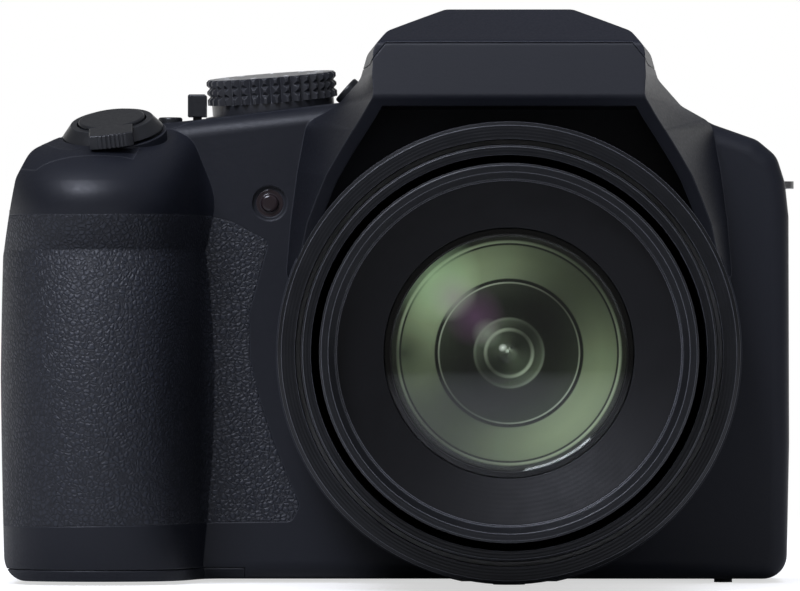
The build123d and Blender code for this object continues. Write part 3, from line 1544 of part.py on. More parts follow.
# Battery, memory card and the bay that holds them
with BuildPart() as battery:
    with BuildSketch(Plane.XY.offset(battery_low_z)):
        with Locations((battery_x, battery_y)):
            RectangleRounded(battery_wide, battery_long, battery_round)
    extrude(amount=battery_high)
save(battery.part, "battery")

with BuildPart() as memory_card:
    with BuildSketch(side_plane(card_x - card_thick / 2)):
        with Locations((card_y, card_low_z)):
            Rectangle(card_long, card_high, align=(Align.CENTER, Align.MIN))
            with Locations((-card_long / 2, card_high)):
                Rectangle(2 * card_thick, 2 * card_thick, rotation=45, mode=Mode.SUBTRACT)
    extrude(amount=card_thick)
save(memory_card.part, "memory_card")

with BuildPart() as battery_bay:
    with BuildSketch(Plane.XY.offset(base_thick)):
        Polygon(
            (bay_left_x, bay_front_y), (bay_nose_x, bay_front_y), (bay_nose_x, bay_step_y),
            (bay_right_x, bay_step_y), (bay_right_x, bay_back_y), (bay_rib_x, bay_back_y),
            (bay_rib_x, rear_y), (bay_left_x, rear_y),
            align=None,
        )
    extrude(amount=bay_top_z - base_thick)
    add(inner_form.part, mode=Mode.INTERSECT)
    with BuildSketch(Plane.XY.offset(base_thick)):
        with Locations((battery_x, battery_y)):
            RectangleRounded(battery_wide + fit_gap, battery_long + fit_gap, battery_round)
    extrude(amount=battery_high + battery_low_z - base_thick, mode=Mode.SUBTRACT)
    with BuildSketch(Plane.XY.offset(base_thick)):
        with Locations((card_x, card_y)):
            Rectangle(card_thick + fit_gap, card_long + fit_gap)
    extrude(amount=card_high + card_low_z - base_thick, mode=Mode.SUBTRACT)
save(battery_bay.part, "battery_bay")

# Side door over the sockets, its pintles in the casing
with BuildPart() as terminal_door:
    with BuildSketch(Plane.XY.offset(side_door_z + fit_gap)):
        with Locations((side_door_x, side_hinge_y)):
            Circle(side_door_thick / 2)
            Rectangle(
                side_door_thick, side_door_front_y + side_door_long - fit_gap - side_hinge_y,
                align=(Align.CENTER, Align.MIN),
            )
    extrude(amount=side_door_high - 2 * fit_gap)
    with BuildSketch(Plane.XY.offset(side_door_z + fit_gap - side_pintle)):
        with Locations((side_door_x, side_hinge_y)):
            Circle(side_pintle_r)
    extrude(amount=side_door_high - 2 * fit_gap + 2 * side_pintle)
save(terminal_door.part, "terminal_door")

# Main board on its posts, with two sockets behind the side door
with BuildPart() as main_board:
    with BuildSketch(facing(board_y, (board_left_x + board_right_x) / 2, (board_low_z + board_top_z) / 2)):
        Rectangle(board_right_x - board_left_x, board_top_z - board_low_z)
    extrude(amount=board_thick)
    with BuildSketch(side_plane(board_right_x)):
        with Locations((board_y, port_z)):
            with GridLocations(0, port_pitch, 1, 2):
                Rectangle(port_high, port_wide, align=(Align.MIN, Align.CENTER))
    extrude(amount=-port_deep)
    with BuildSketch(side_plane(board_right_x)):
        with Locations((board_y + port_wall, port_z)):
            with GridLocations(0, port_pitch, 1, 2):
                Rectangle(port_high - 2 * port_wall, port_wide - 2 * port_wall, align=(Align.MIN, Align.CENTER))
    extrude(amount=port_wall - port_deep, mode=Mode.SUBTRACT)
save(main_board.part, "main_board")
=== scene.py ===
"""Looks of a bridge camera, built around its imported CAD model."""

import logging
import math
from collections.abc import Iterable, Sequence
from dataclasses import dataclass
from enum import Enum

import bmesh
import bpy
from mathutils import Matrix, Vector


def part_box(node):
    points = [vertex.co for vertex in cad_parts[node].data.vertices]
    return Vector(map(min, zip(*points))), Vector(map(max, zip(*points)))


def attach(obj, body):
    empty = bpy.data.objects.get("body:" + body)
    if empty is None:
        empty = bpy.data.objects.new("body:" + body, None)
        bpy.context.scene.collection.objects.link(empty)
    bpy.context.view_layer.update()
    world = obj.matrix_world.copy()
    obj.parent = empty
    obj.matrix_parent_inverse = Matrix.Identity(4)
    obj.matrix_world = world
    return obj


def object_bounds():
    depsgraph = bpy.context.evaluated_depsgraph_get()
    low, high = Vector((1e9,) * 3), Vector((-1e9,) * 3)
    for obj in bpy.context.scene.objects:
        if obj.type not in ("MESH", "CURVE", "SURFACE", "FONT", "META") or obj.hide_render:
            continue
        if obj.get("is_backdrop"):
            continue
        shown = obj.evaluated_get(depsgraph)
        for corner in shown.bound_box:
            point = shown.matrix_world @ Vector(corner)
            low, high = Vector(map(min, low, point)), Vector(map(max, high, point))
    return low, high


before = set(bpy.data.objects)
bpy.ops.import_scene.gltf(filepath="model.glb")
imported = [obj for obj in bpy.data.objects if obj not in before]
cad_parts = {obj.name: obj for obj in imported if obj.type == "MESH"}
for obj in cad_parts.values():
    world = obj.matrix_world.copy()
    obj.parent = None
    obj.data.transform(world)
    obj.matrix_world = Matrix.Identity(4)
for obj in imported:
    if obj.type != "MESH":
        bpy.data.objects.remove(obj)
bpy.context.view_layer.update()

LOG = logging.getLogger("bridge_camera")
MM = 0.001
AXIS_HEIGHT = 37.4
ROUND_STEPS = 128
EDGE_SAMPLES = 6
MERGE_MM = 0.001
SMOOTH_ANGLE = math.radians(35)
WHITE = (1.0, 1.0, 1.0, 1.0)
ORIGIN = (0.0, 0.0, 0.0)


class Facing(Enum):
    """The way a primitive's own upward side is turned."""

    FRONT = (math.pi / 2, 0.0, 0.0)
    BACK = (-math.pi / 2, 0.0, 0.0)
    UP = (0.0, 0.0, 0.0)


# Materials


def linear(code: str) -> tuple[float, float, float, float]:
    """Turns an sRGB hex colour into linear light.

    Args:
        code: The colour, such as "#1f2024".

    Returns:
        Red, green, blue and a full alpha.
    """
    shares = [int(code[at:at + 2], 16) / 255 for at in (1, 3, 5)]
    red, green, blue = (s / 12.92 if s <= 0.04045 else ((s + 0.055) / 1.055) ** 2.4 for s in shares)
    return red, green, blue, 1.0


def add_node(
    tree: bpy.types.NodeTree,
    kind: str,
    settings: dict | None = None,
    links: dict | None = None,
) -> bpy.types.Node:
    """Adds one shader node.

    Args:
        tree: The material's or world's node tree.
        kind: The node's class name without its ShaderNode prefix.
        settings: Values by property name, or by input name or number.
        links: Output sockets by the input that they feed.

    Returns:
        The new node.
    """
    node = tree.nodes.new("ShaderNode" + kind)
    for key, value in (settings or {}).items():
        if isinstance(key, str) and hasattr(node, key):
            setattr(node, key, value)
        else:
            node.inputs[key].default_value = value
    for key, source in (links or {}).items():
        tree.links.new(source, node.inputs[key])
    return node


def grains(size_mm: float) -> float:
    """Texture scale, per metre, whose features are size_mm wide."""
    return 1.0 / (size_mm * MM)


@dataclass(frozen=True)
class Finish:
    """A surface made of one real material; its subclasses say how it looks."""

    name: str
    slot: str
    colour: str
    roughness: float = 0.5
    gloss: float = 0.5

    def material(self) -> bpy.types.Material:
        """Returns the finish's material, made at its first use."""
        found = bpy.data.materials.get(self.name)
        if found is not None:
            return found
        made = bpy.data.materials.new(self.name)
        made.use_nodes = True
        shader = made.node_tree.nodes["Principled BSDF"]
        shader.inputs["Base Color"].default_value = linear(self.colour)
        shader.inputs["Roughness"].default_value = self.roughness
        shader.inputs["Specular IOR Level"].default_value = self.gloss
        self.paint(made.node_tree, shader)
        return made

    def paint(self, tree: bpy.types.NodeTree, shader: bpy.types.Node) -> None:
        """Adds the pattern of the surface to a new material.

        Args:
            tree: The material's node tree.
            shader: Its Principled node.
        """
        raise NotImplementedError

    def place(self, tree: bpy.types.NodeTree) -> bpy.types.NodeSocket:
        """Adds the place on the piece, in metres, and returns its socket."""
        return add_node(tree, "TexCoord").outputs["Object"]

    def cloud(
        self, tree: bpy.types.NodeTree, size_mm: float, detail: float = 3.0
    ) -> bpy.types.NodeSocket:
        """Adds soft noise over the piece.

        Args:
            tree: The material's node tree.
            size_mm: Width of its features.
            detail: How many finer layers it has.

        Returns:
            The noise, from 0 to 1.
        """
        noise = add_node(
            tree, "TexNoise", {"Scale": grains(size_mm), "Detail": detail}, {"Vector": self.place(tree)}
        )
        return noise.outputs["Fac"]

    def blended(
        self, tree: bpy.types.NodeTree, share: bpy.types.NodeSocket, first: str, second: str
    ) -> bpy.types.NodeSocket:
        """Mixes two colours over the surface.

        Args:
            tree: The material's node tree.
            share: How much of the second colour shows.
            first: Hex colour where share is 0.
            second: Hex colour where share is 1.

        Returns:
            The mixed colour.
        """
        mix = add_node(
            tree, "Mix", {"data_type": "RGBA", 6: linear(first), 7: linear(second)}, {0: share}
        )
        return mix.outputs[2]

    def spread(
        self,
        tree: bpy.types.NodeTree,
        value: bpy.types.NodeSocket,
        low: tuple[float, float],
        high: tuple[float, float],
    ) -> bpy.types.NodeSocket:
        """Maps a value from one range to another.

        Args:
            tree: The material's node tree.
            value: The value to map.
            low: Where its range starts and what that becomes.
            high: Where its range ends and what that becomes.

        Returns:
            The mapped value.
        """
        mapped = add_node(
            tree, "MapRange",
            {"From Min": low[0], "From Max": high[0], "To Min": low[1], "To Max": high[1]},
            {"Value": value},
        )
        return mapped.outputs["Result"]

    def relief(
        self,
        tree: bpy.types.NodeTree,
        shader: bpy.types.Node,
        height: bpy.types.NodeSocket,
        depth_mm: float,
        edge_mm: float = 0.0,
    ) -> None:
        """Feeds a height to the shader's normal, over softly rounded edges.

        Args:
            tree: The material's node tree.
            shader: Its Principled node.
            height: The height pattern, from 0 to 1.
            depth_mm: Real depth of the pattern.
            edge_mm: Radius that the edges seem to have.
        """
        links = {"Height": height}
        if edge_mm:
            edge = add_node(tree, "Bevel", {"samples": EDGE_SAMPLES, "Radius": edge_mm * MM})
            links["Normal"] = edge.outputs["Normal"]
        bump = add_node(tree, "Bump", {"Strength": 1.0, "Distance": depth_mm * MM}, links)
        tree.links.new(bump.outputs["Normal"], shader.inputs["Normal"])

    def rubbed_and_highlit(self, tree: bpy.types.NodeTree, edge_mm: float) -> bpy.types.NodeSocket:
        """Finds the edges, which handling rubs paler and which get a painted highlight.

        Args:
            tree: The material's node tree.
            edge_mm: Width of the pale edge line, partly rubbing and partly painted highlight.

        Returns:
            0 on plain faces and 1 on sharp edges.
        """
        edge = add_node(tree, "Bevel", {"samples": EDGE_SAMPLES, "Radius": edge_mm * MM})
        surface = add_node(tree, "NewGeometry")
        match = add_node(
            tree, "VectorMath", {"operation": "DOT_PRODUCT"},
            {0: edge.outputs["Normal"], 1: surface.outputs["Normal"]},
        )
        return self.spread(tree, match.outputs["Value"], (0.995, 0.0), (0.86, 1.0))


@dataclass(frozen=True)
class MouldedPlastic(Finish):
    """Black ABS from a spark-eroded mould: a dull even skin, a little paler and smoother along the edges,
    the paleness partly rubbing and partly a painted highlight.
    """

    worn_and_highlit: str = "#4a4c52"
    cast: str = "#1d1f24"
    cast_mm: float = 40.0
    grain_mm: float = 0.45
    grain_deep_mm: float = 0.012
    edge_mm: float = 0.35
    wear_and_highlight: float = 0.35

    def paint(self, tree: bpy.types.NodeTree, shader: bpy.types.Node) -> None:
        """Adds cast, edges painted paler as rubbing and as a painted highlight, and grain; see Finish.paint.
        """
        tone = self.blended(tree, self.cloud(tree, self.cast_mm, 2.0), self.colour, self.cast)
        # Paler edges: partly rubbing, partly a painted highlight
        rub_and_highlight = add_node(
            tree, "Math", {"operation": "MULTIPLY", 1: self.wear_and_highlight}, {0: self.rubbed_and_highlit(tree, self.edge_mm)}
        )
        colour = add_node(
            tree, "Mix", {"data_type": "RGBA", 7: linear(self.worn_and_highlit)}, {0: rub_and_highlight.outputs[0], 6: tone}
        )
        tree.links.new(colour.outputs[2], shader.inputs["Base Color"])
        grain = self.cloud(tree, self.grain_mm, 4.0)
        rough = self.spread(
            tree, grain, (0.3, self.roughness - 0.05), (0.7, self.roughness + 0.06)
        )
        tree.links.new(rough, shader.inputs["Roughness"])
        self.relief(tree, shader, grain, self.grain_deep_mm, self.edge_mm)


@dataclass(frozen=True)
class GrainedRubber(Finish):
    """Rubber moulded with a fine leather grain: soft pebbles between thin creases that hold painted shade,
    with little shine.
    """

    painted_crease_shade: str = "#0e0f14"
    pebble_mm: float = 0.8
    pebble_deep_mm: float = 0.13
    drift_mm: float = 1.1
    pull_mm: float = 0.7
    fine_mm: float = 0.3
    edge_mm: float = 0.4

    def paint(self, tree: bpy.types.NodeTree, shader: bpy.types.Node) -> None:
        """Adds pebbles with creases between them, painting shade into the creases; see Finish.paint."""
        drift = add_node(
            tree, "TexNoise", {"Scale": grains(self.drift_mm), "Detail": 3.0}, {"Vector": self.place(tree)}
        )
        pull = add_node(
            tree, "VectorMath", {"operation": "SCALE", "Scale": self.pull_mm * MM},
            {0: drift.outputs["Color"]},
        )
        at = add_node(
            tree, "VectorMath", {"operation": "ADD"}, {0: pull.outputs[0], 1: self.place(tree)}
        )
        cells = add_node(
            tree, "TexVoronoi", {"feature": "DISTANCE_TO_EDGE", "Scale": grains(self.pebble_mm)},
            {"Vector": at.outputs[0]},
        )
        pebble = self.spread(tree, cells.outputs["Distance"], (0.0, 0.0), (0.3, 1.0))
        fine = self.cloud(tree, self.fine_mm, 2.0)
        height = add_node(
            tree, "Mix", {"data_type": "FLOAT", 0: 0.3}, {2: pebble, 3: fine}
        ).outputs[0]
        # Painted shade: the creases are darkened by colour
        tree.links.new(self.blended(tree, height, self.painted_crease_shade, self.colour), shader.inputs["Base Color"])
        rough = self.spread(tree, height, (0.2, self.roughness + 0.1), (0.9, self.roughness - 0.05))
        tree.links.new(rough, shader.inputs["Roughness"])
        self.relief(tree, shader, height, self.pebble_deep_mm, self.edge_mm)


@dataclass(frozen=True)
class TurnedRing(Finish):
    """Satin black painted alloy turned on a lathe: fine rings about the lens axis catch the light, and pale
    edges are partly rubbing and partly a painted highlight.
    """

    worn_and_highlit: str = "#7d7f86"
    pitch_mm: float = 0.5
    groove_mm: float = 0.02
    edge_mm: float = 0.22
    wear_and_highlight: float = 0.75

    def paint(self, tree: bpy.types.NodeTree, shader: bpy.types.Node) -> None:
        """Adds turning marks by distance from the lens axis, and pale edges that are partly a painted
        highlight; see Finish.paint.
        """
        centred = add_node(
            tree, "VectorMath", {"operation": "SUBTRACT", 1: (0.0, 0.0, AXIS_HEIGHT * MM)},
            {0: self.place(tree)},
        )
        flat = add_node(
            tree, "VectorMath", {"operation": "MULTIPLY", 1: (1.0, 0.0, 1.0)}, {0: centred.outputs[0]}
        )
        radius = add_node(tree, "VectorMath", {"operation": "LENGTH"}, {0: flat.outputs[0]})
        depth = add_node(tree, "SeparateXYZ", {}, {0: centred.outputs[0]})
        along = add_node(
            tree, "Math", {"operation": "ADD"}, {0: radius.outputs["Value"], 1: depth.outputs["Y"]}
        )
        turns = add_node(
            tree, "Math", {"operation": "MULTIPLY", 1: 2 * math.pi / (self.pitch_mm * MM)},
            {0: along.outputs[0]},
        )
        wave = add_node(tree, "Math", {"operation": "SINE"}, {0: turns.outputs[0]})
        groove = self.spread(tree, wave.outputs[0], (-1.0, 0.0), (1.0, 1.0))
        # Pale bevels: mostly a painted highlight, partly rubbing
        rub_and_highlight = add_node(
            tree, "Math", {"operation": "MULTIPLY", 1: self.wear_and_highlight}, {0: self.rubbed_and_highlit(tree, self.edge_mm)}
        )
        tree.links.new(
            self.blended(tree, rub_and_highlight.outputs[0], self.colour, self.worn_and_highlit), shader.inputs["Base Color"]
        )
        rough = self.spread(
            tree, self.cloud(tree, 3.0), (0.3, self.roughness - 0.04), (0.7, self.roughness + 0.05)
        )
        tree.links.new(rough, shader.inputs["Roughness"])
        self.relief(tree, shader, groove, self.groove_mm, self.edge_mm)


@dataclass(frozen=True)
class BareMetal(Finish):
    """Bare metal, turned or pressed: bright, with fine scratches that break up its shine."""

    dull: str = "#8b8b8a"
    scratch_mm: float = 0.5
    scratch_deep_mm: float = 0.01
    patch_mm: float = 4.0
    edge_mm: float = 0.15

    def paint(self, tree: bpy.types.NodeTree, shader: bpy.types.Node) -> None:
        """Adds scratches and dull patches; see Finish.paint."""
        shader.inputs["Metallic"].default_value = 1.0
        stretched = add_node(
            tree, "Mapping", {"Scale": (1.0, 1.0, 6.0)}, {"Vector": self.place(tree)}
        )
        scratch = add_node(
            tree, "TexNoise", {"Scale": grains(self.scratch_mm), "Detail": 4.0},
            {"Vector": stretched.outputs[0]},
        )
        tree.links.new(
            self.blended(tree, self.cloud(tree, self.patch_mm), self.colour, self.dull),
            shader.inputs["Base Color"],
        )
        rough = self.spread(
            tree, scratch.outputs["Fac"], (0.3, self.roughness - 0.08), (0.7, self.roughness + 0.1)
        )
        tree.links.new(rough, shader.inputs["Roughness"])
        self.relief(tree, shader, scratch.outputs["Fac"], self.scratch_deep_mm, self.edge_mm)


@dataclass(frozen=True)
class ClearPane(Finish):
    """Clear glass or acrylic: sharp reflections, faint dust and wipe marks that only show in them."""

    ior: float = 1.5
    passes: float = 1.0
    smear: float = 0.05
    smear_mm: float = 6.0

    def paint(self, tree: bpy.types.NodeTree, shader: bpy.types.Node) -> None:
        """Lets light through and adds wipe marks; see Finish.paint."""
        shader.inputs["IOR"].default_value = self.ior
        shader.inputs["Transmission Weight"].default_value = self.passes
        rough = self.spread(
            tree, self.cloud(tree, self.smear_mm, 4.0), (0.45, self.roughness),
            (0.75, self.roughness + self.smear),
        )
        tree.links.new(rough, shader.inputs["Roughness"])


@dataclass(frozen=True)
class PaintedReflectionGlass(Finish):
    """Glass behind the front one with painted reflections: rings of painted olive reflection, a painted
    highlight brightest along a slant, dark inside.
    """

    reach_mm: float = 19.7
    rings: tuple[tuple[float, str], ...] = ()
    painted_reflection_spots: tuple[tuple[float, float, float, float, str], ...] = ()
    # slant and across: where the painted highlight is brightest, and the level of painted shade across from
    # it
    slant: tuple[float, float, float] = (-0.7071, 0.0, 0.7071)
    across: float = 0.16
    magnified: float = 1.045

    def paint(self, tree: bpy.types.NodeTree, shader: bpy.types.Node) -> None:
        """Adds the painted reflection rings about the lens axis, the painted highlight along its slant and
        the painted spots of reflection and glint; see Finish.paint.
        """
        centred = add_node(
            tree, "VectorMath", {"operation": "SUBTRACT", 1: (0.0, 0.0, AXIS_HEIGHT * MM)},
            {0: self.place(tree)},
        )
        flat = add_node(
            tree, "VectorMath", {"operation": "MULTIPLY", 1: (self.magnified, 0.0, self.magnified)},
            {0: centred.outputs[0]},
        )
        radius = add_node(tree, "VectorMath", {"operation": "LENGTH"}, {0: flat.outputs[0]})
        share = self.spread(tree, radius.outputs["Value"], (0.0, 0.0), (self.reach_mm * MM, 1.0))
        # Painted reflection rings, by distance from the lens axis
        ramp = add_node(tree, "ValToRGB", {}, {0: share})
        stops = ramp.color_ramp.elements
        for at, (reach, code) in enumerate(self.rings):
            stop = stops[at] if at < len(stops) else stops.new(1.0)
            stop.position = reach / self.reach_mm
            stop.color = linear(code)
        way = add_node(tree, "VectorMath", {"operation": "NORMALIZE"}, {0: flat.outputs[0]})
        along = add_node(
            tree, "VectorMath", {"operation": "DOT_PRODUCT", 1: self.slant}, {0: way.outputs[0]}
        )
        both_ways = add_node(
            tree, "Math", {"operation": "MULTIPLY"}, {0: along.outputs["Value"], 1: along.outputs["Value"]}
        )
        # Painted highlight along the slant, painted shade across it
        light = self.spread(tree, both_ways.outputs[0], (0.0, self.across), (1.0, 1.0))
        lit = add_node(
            tree, "VectorMath", {"operation": "SCALE"}, {0: ramp.outputs[0], "Scale": light}
        )
        colour = lit.outputs[0]
        # Painted reflection spots and glints, mixed in by place
        for x, z, reach, strength, code in self.painted_reflection_spots:
            away = add_node(
                tree, "VectorMath", {"operation": "DISTANCE", 1: (x * MM, 0.0, z * MM)}, {0: flat.outputs[0]}
            )
            near = self.spread(tree, away.outputs["Value"], (0.0, strength), (reach * MM, 0.0))
            colour = add_node(
                tree, "Mix", {"data_type": "RGBA", 7: linear(code)}, {0: near, 6: colour}
            ).outputs[2]
        tree.links.new(colour, shader.inputs["Base Color"])


@dataclass(frozen=True)
class PrintedPaint(Finish):
    """Thin pad-printed ink: flat and a little uneven at its grain."""

    grain_mm: float = 0.5

    def paint(self, tree: bpy.types.NodeTree, shader: bpy.types.Node) -> None:
        """Adds faint unevenness; see Finish.paint."""
        rough = self.spread(
            tree, self.cloud(tree, self.grain_mm), (0.3, self.roughness - 0.05),
            (0.7, self.roughness + 0.05),
        )
        tree.links.new(rough, shader.inputs["Roughness"])


@dataclass(frozen=True)
class CircuitBoard(Finish):
    """Green lacquered circuit board: paler copper tracks show through the lacquer."""

    track: str = "#2f7a4c"
    lane_mm: float = 2.4
    lane_deep_mm: float = 0.03
    edge_mm: float = 0.1

    def paint(self, tree: bpy.types.NodeTree, shader: bpy.types.Node) -> None:
        """Adds tracks under the lacquer; see Finish.paint."""
        cells = add_node(
            tree, "TexVoronoi", {"feature": "F1", "distance": "CHEBYCHEV", "Scale": grains(self.lane_mm)},
            {"Vector": self.place(tree)},
        )
        lane = self.spread(tree, cells.outputs["Distance"], (0.36, 0.0), (0.40, 1.0))
        tree.links.new(self.blended(tree, lane, self.colour, self.track), shader.inputs["Base Color"])
        self.relief(tree, shader, lane, self.lane_deep_mm, self.edge_mm)


# Spark-eroded ABS: a dull blue-black skin with softly lit edges, a painted highlight with some rubbing
CASING = MouldedPlastic("moulded_abs_casing", "casing_black", "#16181f", 0.46, 0.34, cast="#11131a")
# The same skin on the flash cover, painted a shade paler as painted light where the light falls on it
PAINTED_LIT_HUMP = MouldedPlastic("moulded_abs_flash_cover_painted_lit", "casing_black", "#181a23", 0.44, 0.3, cast="#14161d")
# Polished ABS keys: smoother than the casing, so their rims catch the light
KEY = MouldedPlastic(
    "moulded_abs_keys", "key_black", "#1c1d20", 0.34, 0.5, cast="#18191b", grain_mm=0.6, grain_deep_mm=0.004,
    edge_mm=0.25
)
# The dial's knurls are painted bright at their points, partly as rubbing and partly as a painted highlight
DIAL = MouldedPlastic(
    "anodised_look_dial", "dial_black", "#2b2c30", 0.32, 0.6, worn_and_highlit="#7c7e84", cast="#26272b",
    grain_mm=0.4, grain_deep_mm=0.003, edge_mm=0.06, wear_and_highlight=0.8
)
# Leather grain, drawn a little coarser than the real one so that it shows
RUBBER = GrainedRubber("leather_grain_rubber", "skin_rubber", "#252830", 0.5, 0.45)
# Soft rubber that drinks the light
EYECUP_RUBBER = GrainedRubber(
    "soft_eyecup_rubber", "skin_rubber", "#151619", 0.72, 0.3, pebble_mm=0.4, pebble_deep_mm=0.02
)
# Painted barrels: a painted highlight on their bevels, with some rubbing, draws thin bright circles round
# the lens
BARREL = TurnedRing("satin_painted_barrel", "barrel_black", "#0f1013", 0.34, 0.35)
# The ring round the glass is duller, so it stays dark between the barrels and the glass
NAME_RING = TurnedRing(
    "dull_painted_front_ring", "barrel_black", "#0a0a0c", 0.5, 0.22, pitch_mm=0.5, groove_mm=0.004, wear_and_highlight=0.1
)
# Matt black inside the lens and the bays, against stray light
INNER = MouldedPlastic(
    "dull_black_inside", "inner_black", "#0e0e10", 0.7, 0.2, worn_and_highlit="#1c1c20", cast="#0c0c0e",
    grain_mm=0.5, wear_and_highlight=0.2
)
# Plated and bare metals: small bright spots against the black
STEEL = BareMetal("nickel_plated_steel", "steel", "#a9a8a5", 0.34, dull="#77777a")
ALUMINIUM = BareMetal("pressed_aluminium", "aluminium", "#b4b5b6", 0.4)
BRASS = BareMetal("turned_brass", "brass", "#c8a561", 0.32, dull="#9c7f45")
# Coated glass hardly shines; acrylic and the screen's cover do
FRONT_GLASS = ClearPane("coated_front_glass", "lens_glass", "#eef4ea", 0.0, 0.06, ior=1.5, smear=0.02)
CLEAR = ClearPane("clear_acrylic", "clear_glass", "#f2f3f4", 0.04, 0.5, ior=1.49)
SCREEN = ClearPane("smoked_screen_glass", "screen_glass", "#0b0b0d", 0.05, 0.5, passes=0.2, smear=0.08)
# Smoked window over the focus lamp: nearly black, with a red depth
LAMP = MouldedPlastic(
    "smoked_lamp_window", "lamp_red", "#2a2224", 0.12, 0.5, cast="#221b1d", grain_mm=2.0, grain_deep_mm=0.002
)
# Pieces that show when a door is open
BOARD = CircuitBoard("lacquered_circuit_board", "board_green", "#1d5236", 0.4)
BATTERY = MouldedPlastic(
    "battery_case", "battery_grey", "#45464a", 0.45, cast="#3e3f43", grain_deep_mm=0.005
)
CARD = MouldedPlastic(
    "memory_card_case", "card_blue", "#22304a", 0.4, cast="#1e2b43", grain_deep_mm=0.004
)
# Generic printed signs
RED_INK = PrintedPaint("red_printed_ink", "lamp_red", "#9c1f1f", 0.5, 0.3)
WHITE_INK = PrintedPaint("white_printed_ink", "key_black", "#d9dadb", 0.55, 0.3)
# Painted reflection rings by their reach from the lens axis in millimetres, then painted reflection spots
# and glints by place, reach and strength
INNER_GLASS_REFLECTIONS_PAINTED = PaintedReflectionGlass(
    "inner_glass_painted_reflections", "lens_glass", "#5e6655", 0.3, 0.12,
    rings=(
        (0.0, "#8f9786"), (0.8, "#5c6455"), (1.6, "#454c40"), (3.4, "#3c4338"), (3.75, "#9aa192"),
        (3.95, "#9aa192"), (4.2, "#3f453a"), (5.2, "#555c4f"), (5.6, "#7d8478"), (5.9, "#181a15"),
        (8.0, "#1d201a"), (11.25, "#343a2f"), (11.4, "#a8ae9f"), (11.5, "#a8ae9f"), (11.62, "#0c0e0a"),
        (12.0, "#0c0e0a"), (12.2, "#8c967c"), (15.0, "#949f82"), (17.1, "#8f9a7e"), (17.5, "#8a947a"),
        (17.6, "#10130c"), (17.8, "#10130c"), (17.95, "#b4bda6"), (18.2, "#9aa38c"), (18.4, "#33382c"),
        (19.6, "#15170f"),
    ),
    painted_reflection_spots=(
        (-12.4, 12.6, 8.0, 0.8, "#c6e2bb"), (-9.2, 9.2, 4.2, 0.95, "#a9a6a2"),
        (-5.6, 6.0, 5.2, 0.85, "#5c3a5e"), (-17.0, 0.0, 5.5, 0.8, "#1c211a"),
        (-3.6, 3.2, 2.6, 0.7, "#8a8c86"), (-1.0, 0.8, 0.75, 1.0, "#ffffff"),
        (-0.2, 0.1, 0.5, 0.9, "#e6e9e2"),
    ),
)


# Shaping by hand


def deselect_all() -> None:
    """Leaves edit mode and deselects everything."""
    if bpy.context.object is not None and bpy.context.object.mode != "OBJECT":
        bpy.ops.object.mode_set(mode="OBJECT")
    for thing in list(bpy.context.selected_objects):
        thing.select_set(False)
    bpy.context.view_layer.objects.active = None


def take(piece: bpy.types.Object) -> None:
    """Makes a piece the only selected one."""
    deselect_all()
    piece.select_set(True)
    bpy.context.view_layer.objects.active = piece


def finished(
    piece: bpy.types.Object, name: str, finish: Finish, body: str, angle: float = SMOOTH_ANGLE
) -> bpy.types.Object:
    """Applies a piece's place, smooths and dresses it, and hangs it on its body.

    Args:
        piece: The shaped piece.
        name: Its final name.
        finish: Its surface.
        body: The CAD body that it moves with.
        angle: Edges flatter than this are shaded smooth.

    Returns:
        The same piece.
    """
    take(piece)
    piece.name = piece.data.name = name
    bpy.ops.object.transform_apply(location=True, rotation=True, scale=True)
    bpy.ops.object.mode_set(mode="EDIT")
    bpy.ops.mesh.select_all(action="SELECT")
    bpy.ops.mesh.remove_doubles(threshold=MERGE_MM * MM)
    bpy.ops.mesh.normals_make_consistent(inside=False)
    bpy.ops.object.mode_set(mode="OBJECT")
    bpy.ops.object.shade_smooth_by_angle(angle=angle)
    piece.data.materials.clear()
    piece.data.materials.append(finish.material())
    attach(piece, body)
    return piece


def turned_piece(stations: Sequence[tuple[float, float]], closed: bool = True) -> bpy.types.Object:
    """Shapes a round piece about the lens axis by extruding a circle along its outline.

    Args:
        stations: Depth and radius of each corner of the outline, in millimetres, in order.
        closed: If False, the first corner's circle is filled with a face; otherwise nothing is filled.

    Returns:
        The piece, still in object mode and not dressed.
    """
    deselect_all()
    depth, radius = stations[0]
    centre = Vector((0.0, depth * MM, AXIS_HEIGHT * MM))
    bpy.ops.mesh.primitive_circle_add(
        vertices=ROUND_STEPS, radius=radius * MM, location=centre, rotation=Facing.FRONT.value,
        fill_type="NOTHING",
    )
    piece = bpy.context.object
    bpy.ops.object.mode_set(mode="EDIT")
    bpy.ops.mesh.select_mode(type="VERT")
    bpy.ops.mesh.select_all(action="SELECT")
    if not closed:
        bpy.ops.mesh.edge_face_add()
    for next_depth, next_radius in stations[1:]:
        bpy.ops.mesh.extrude_region_move(
            TRANSFORM_OT_translate={"value": (0.0, (next_depth - depth) * MM, 0.0)}
        )
        centre.y = next_depth * MM
        share = next_radius / radius
        bpy.ops.transform.resize(value=(share, share, share), center_override=centre)
        depth, radius = next_depth, next_radius
    bpy.ops.object.mode_set(mode="OBJECT")
    return piece


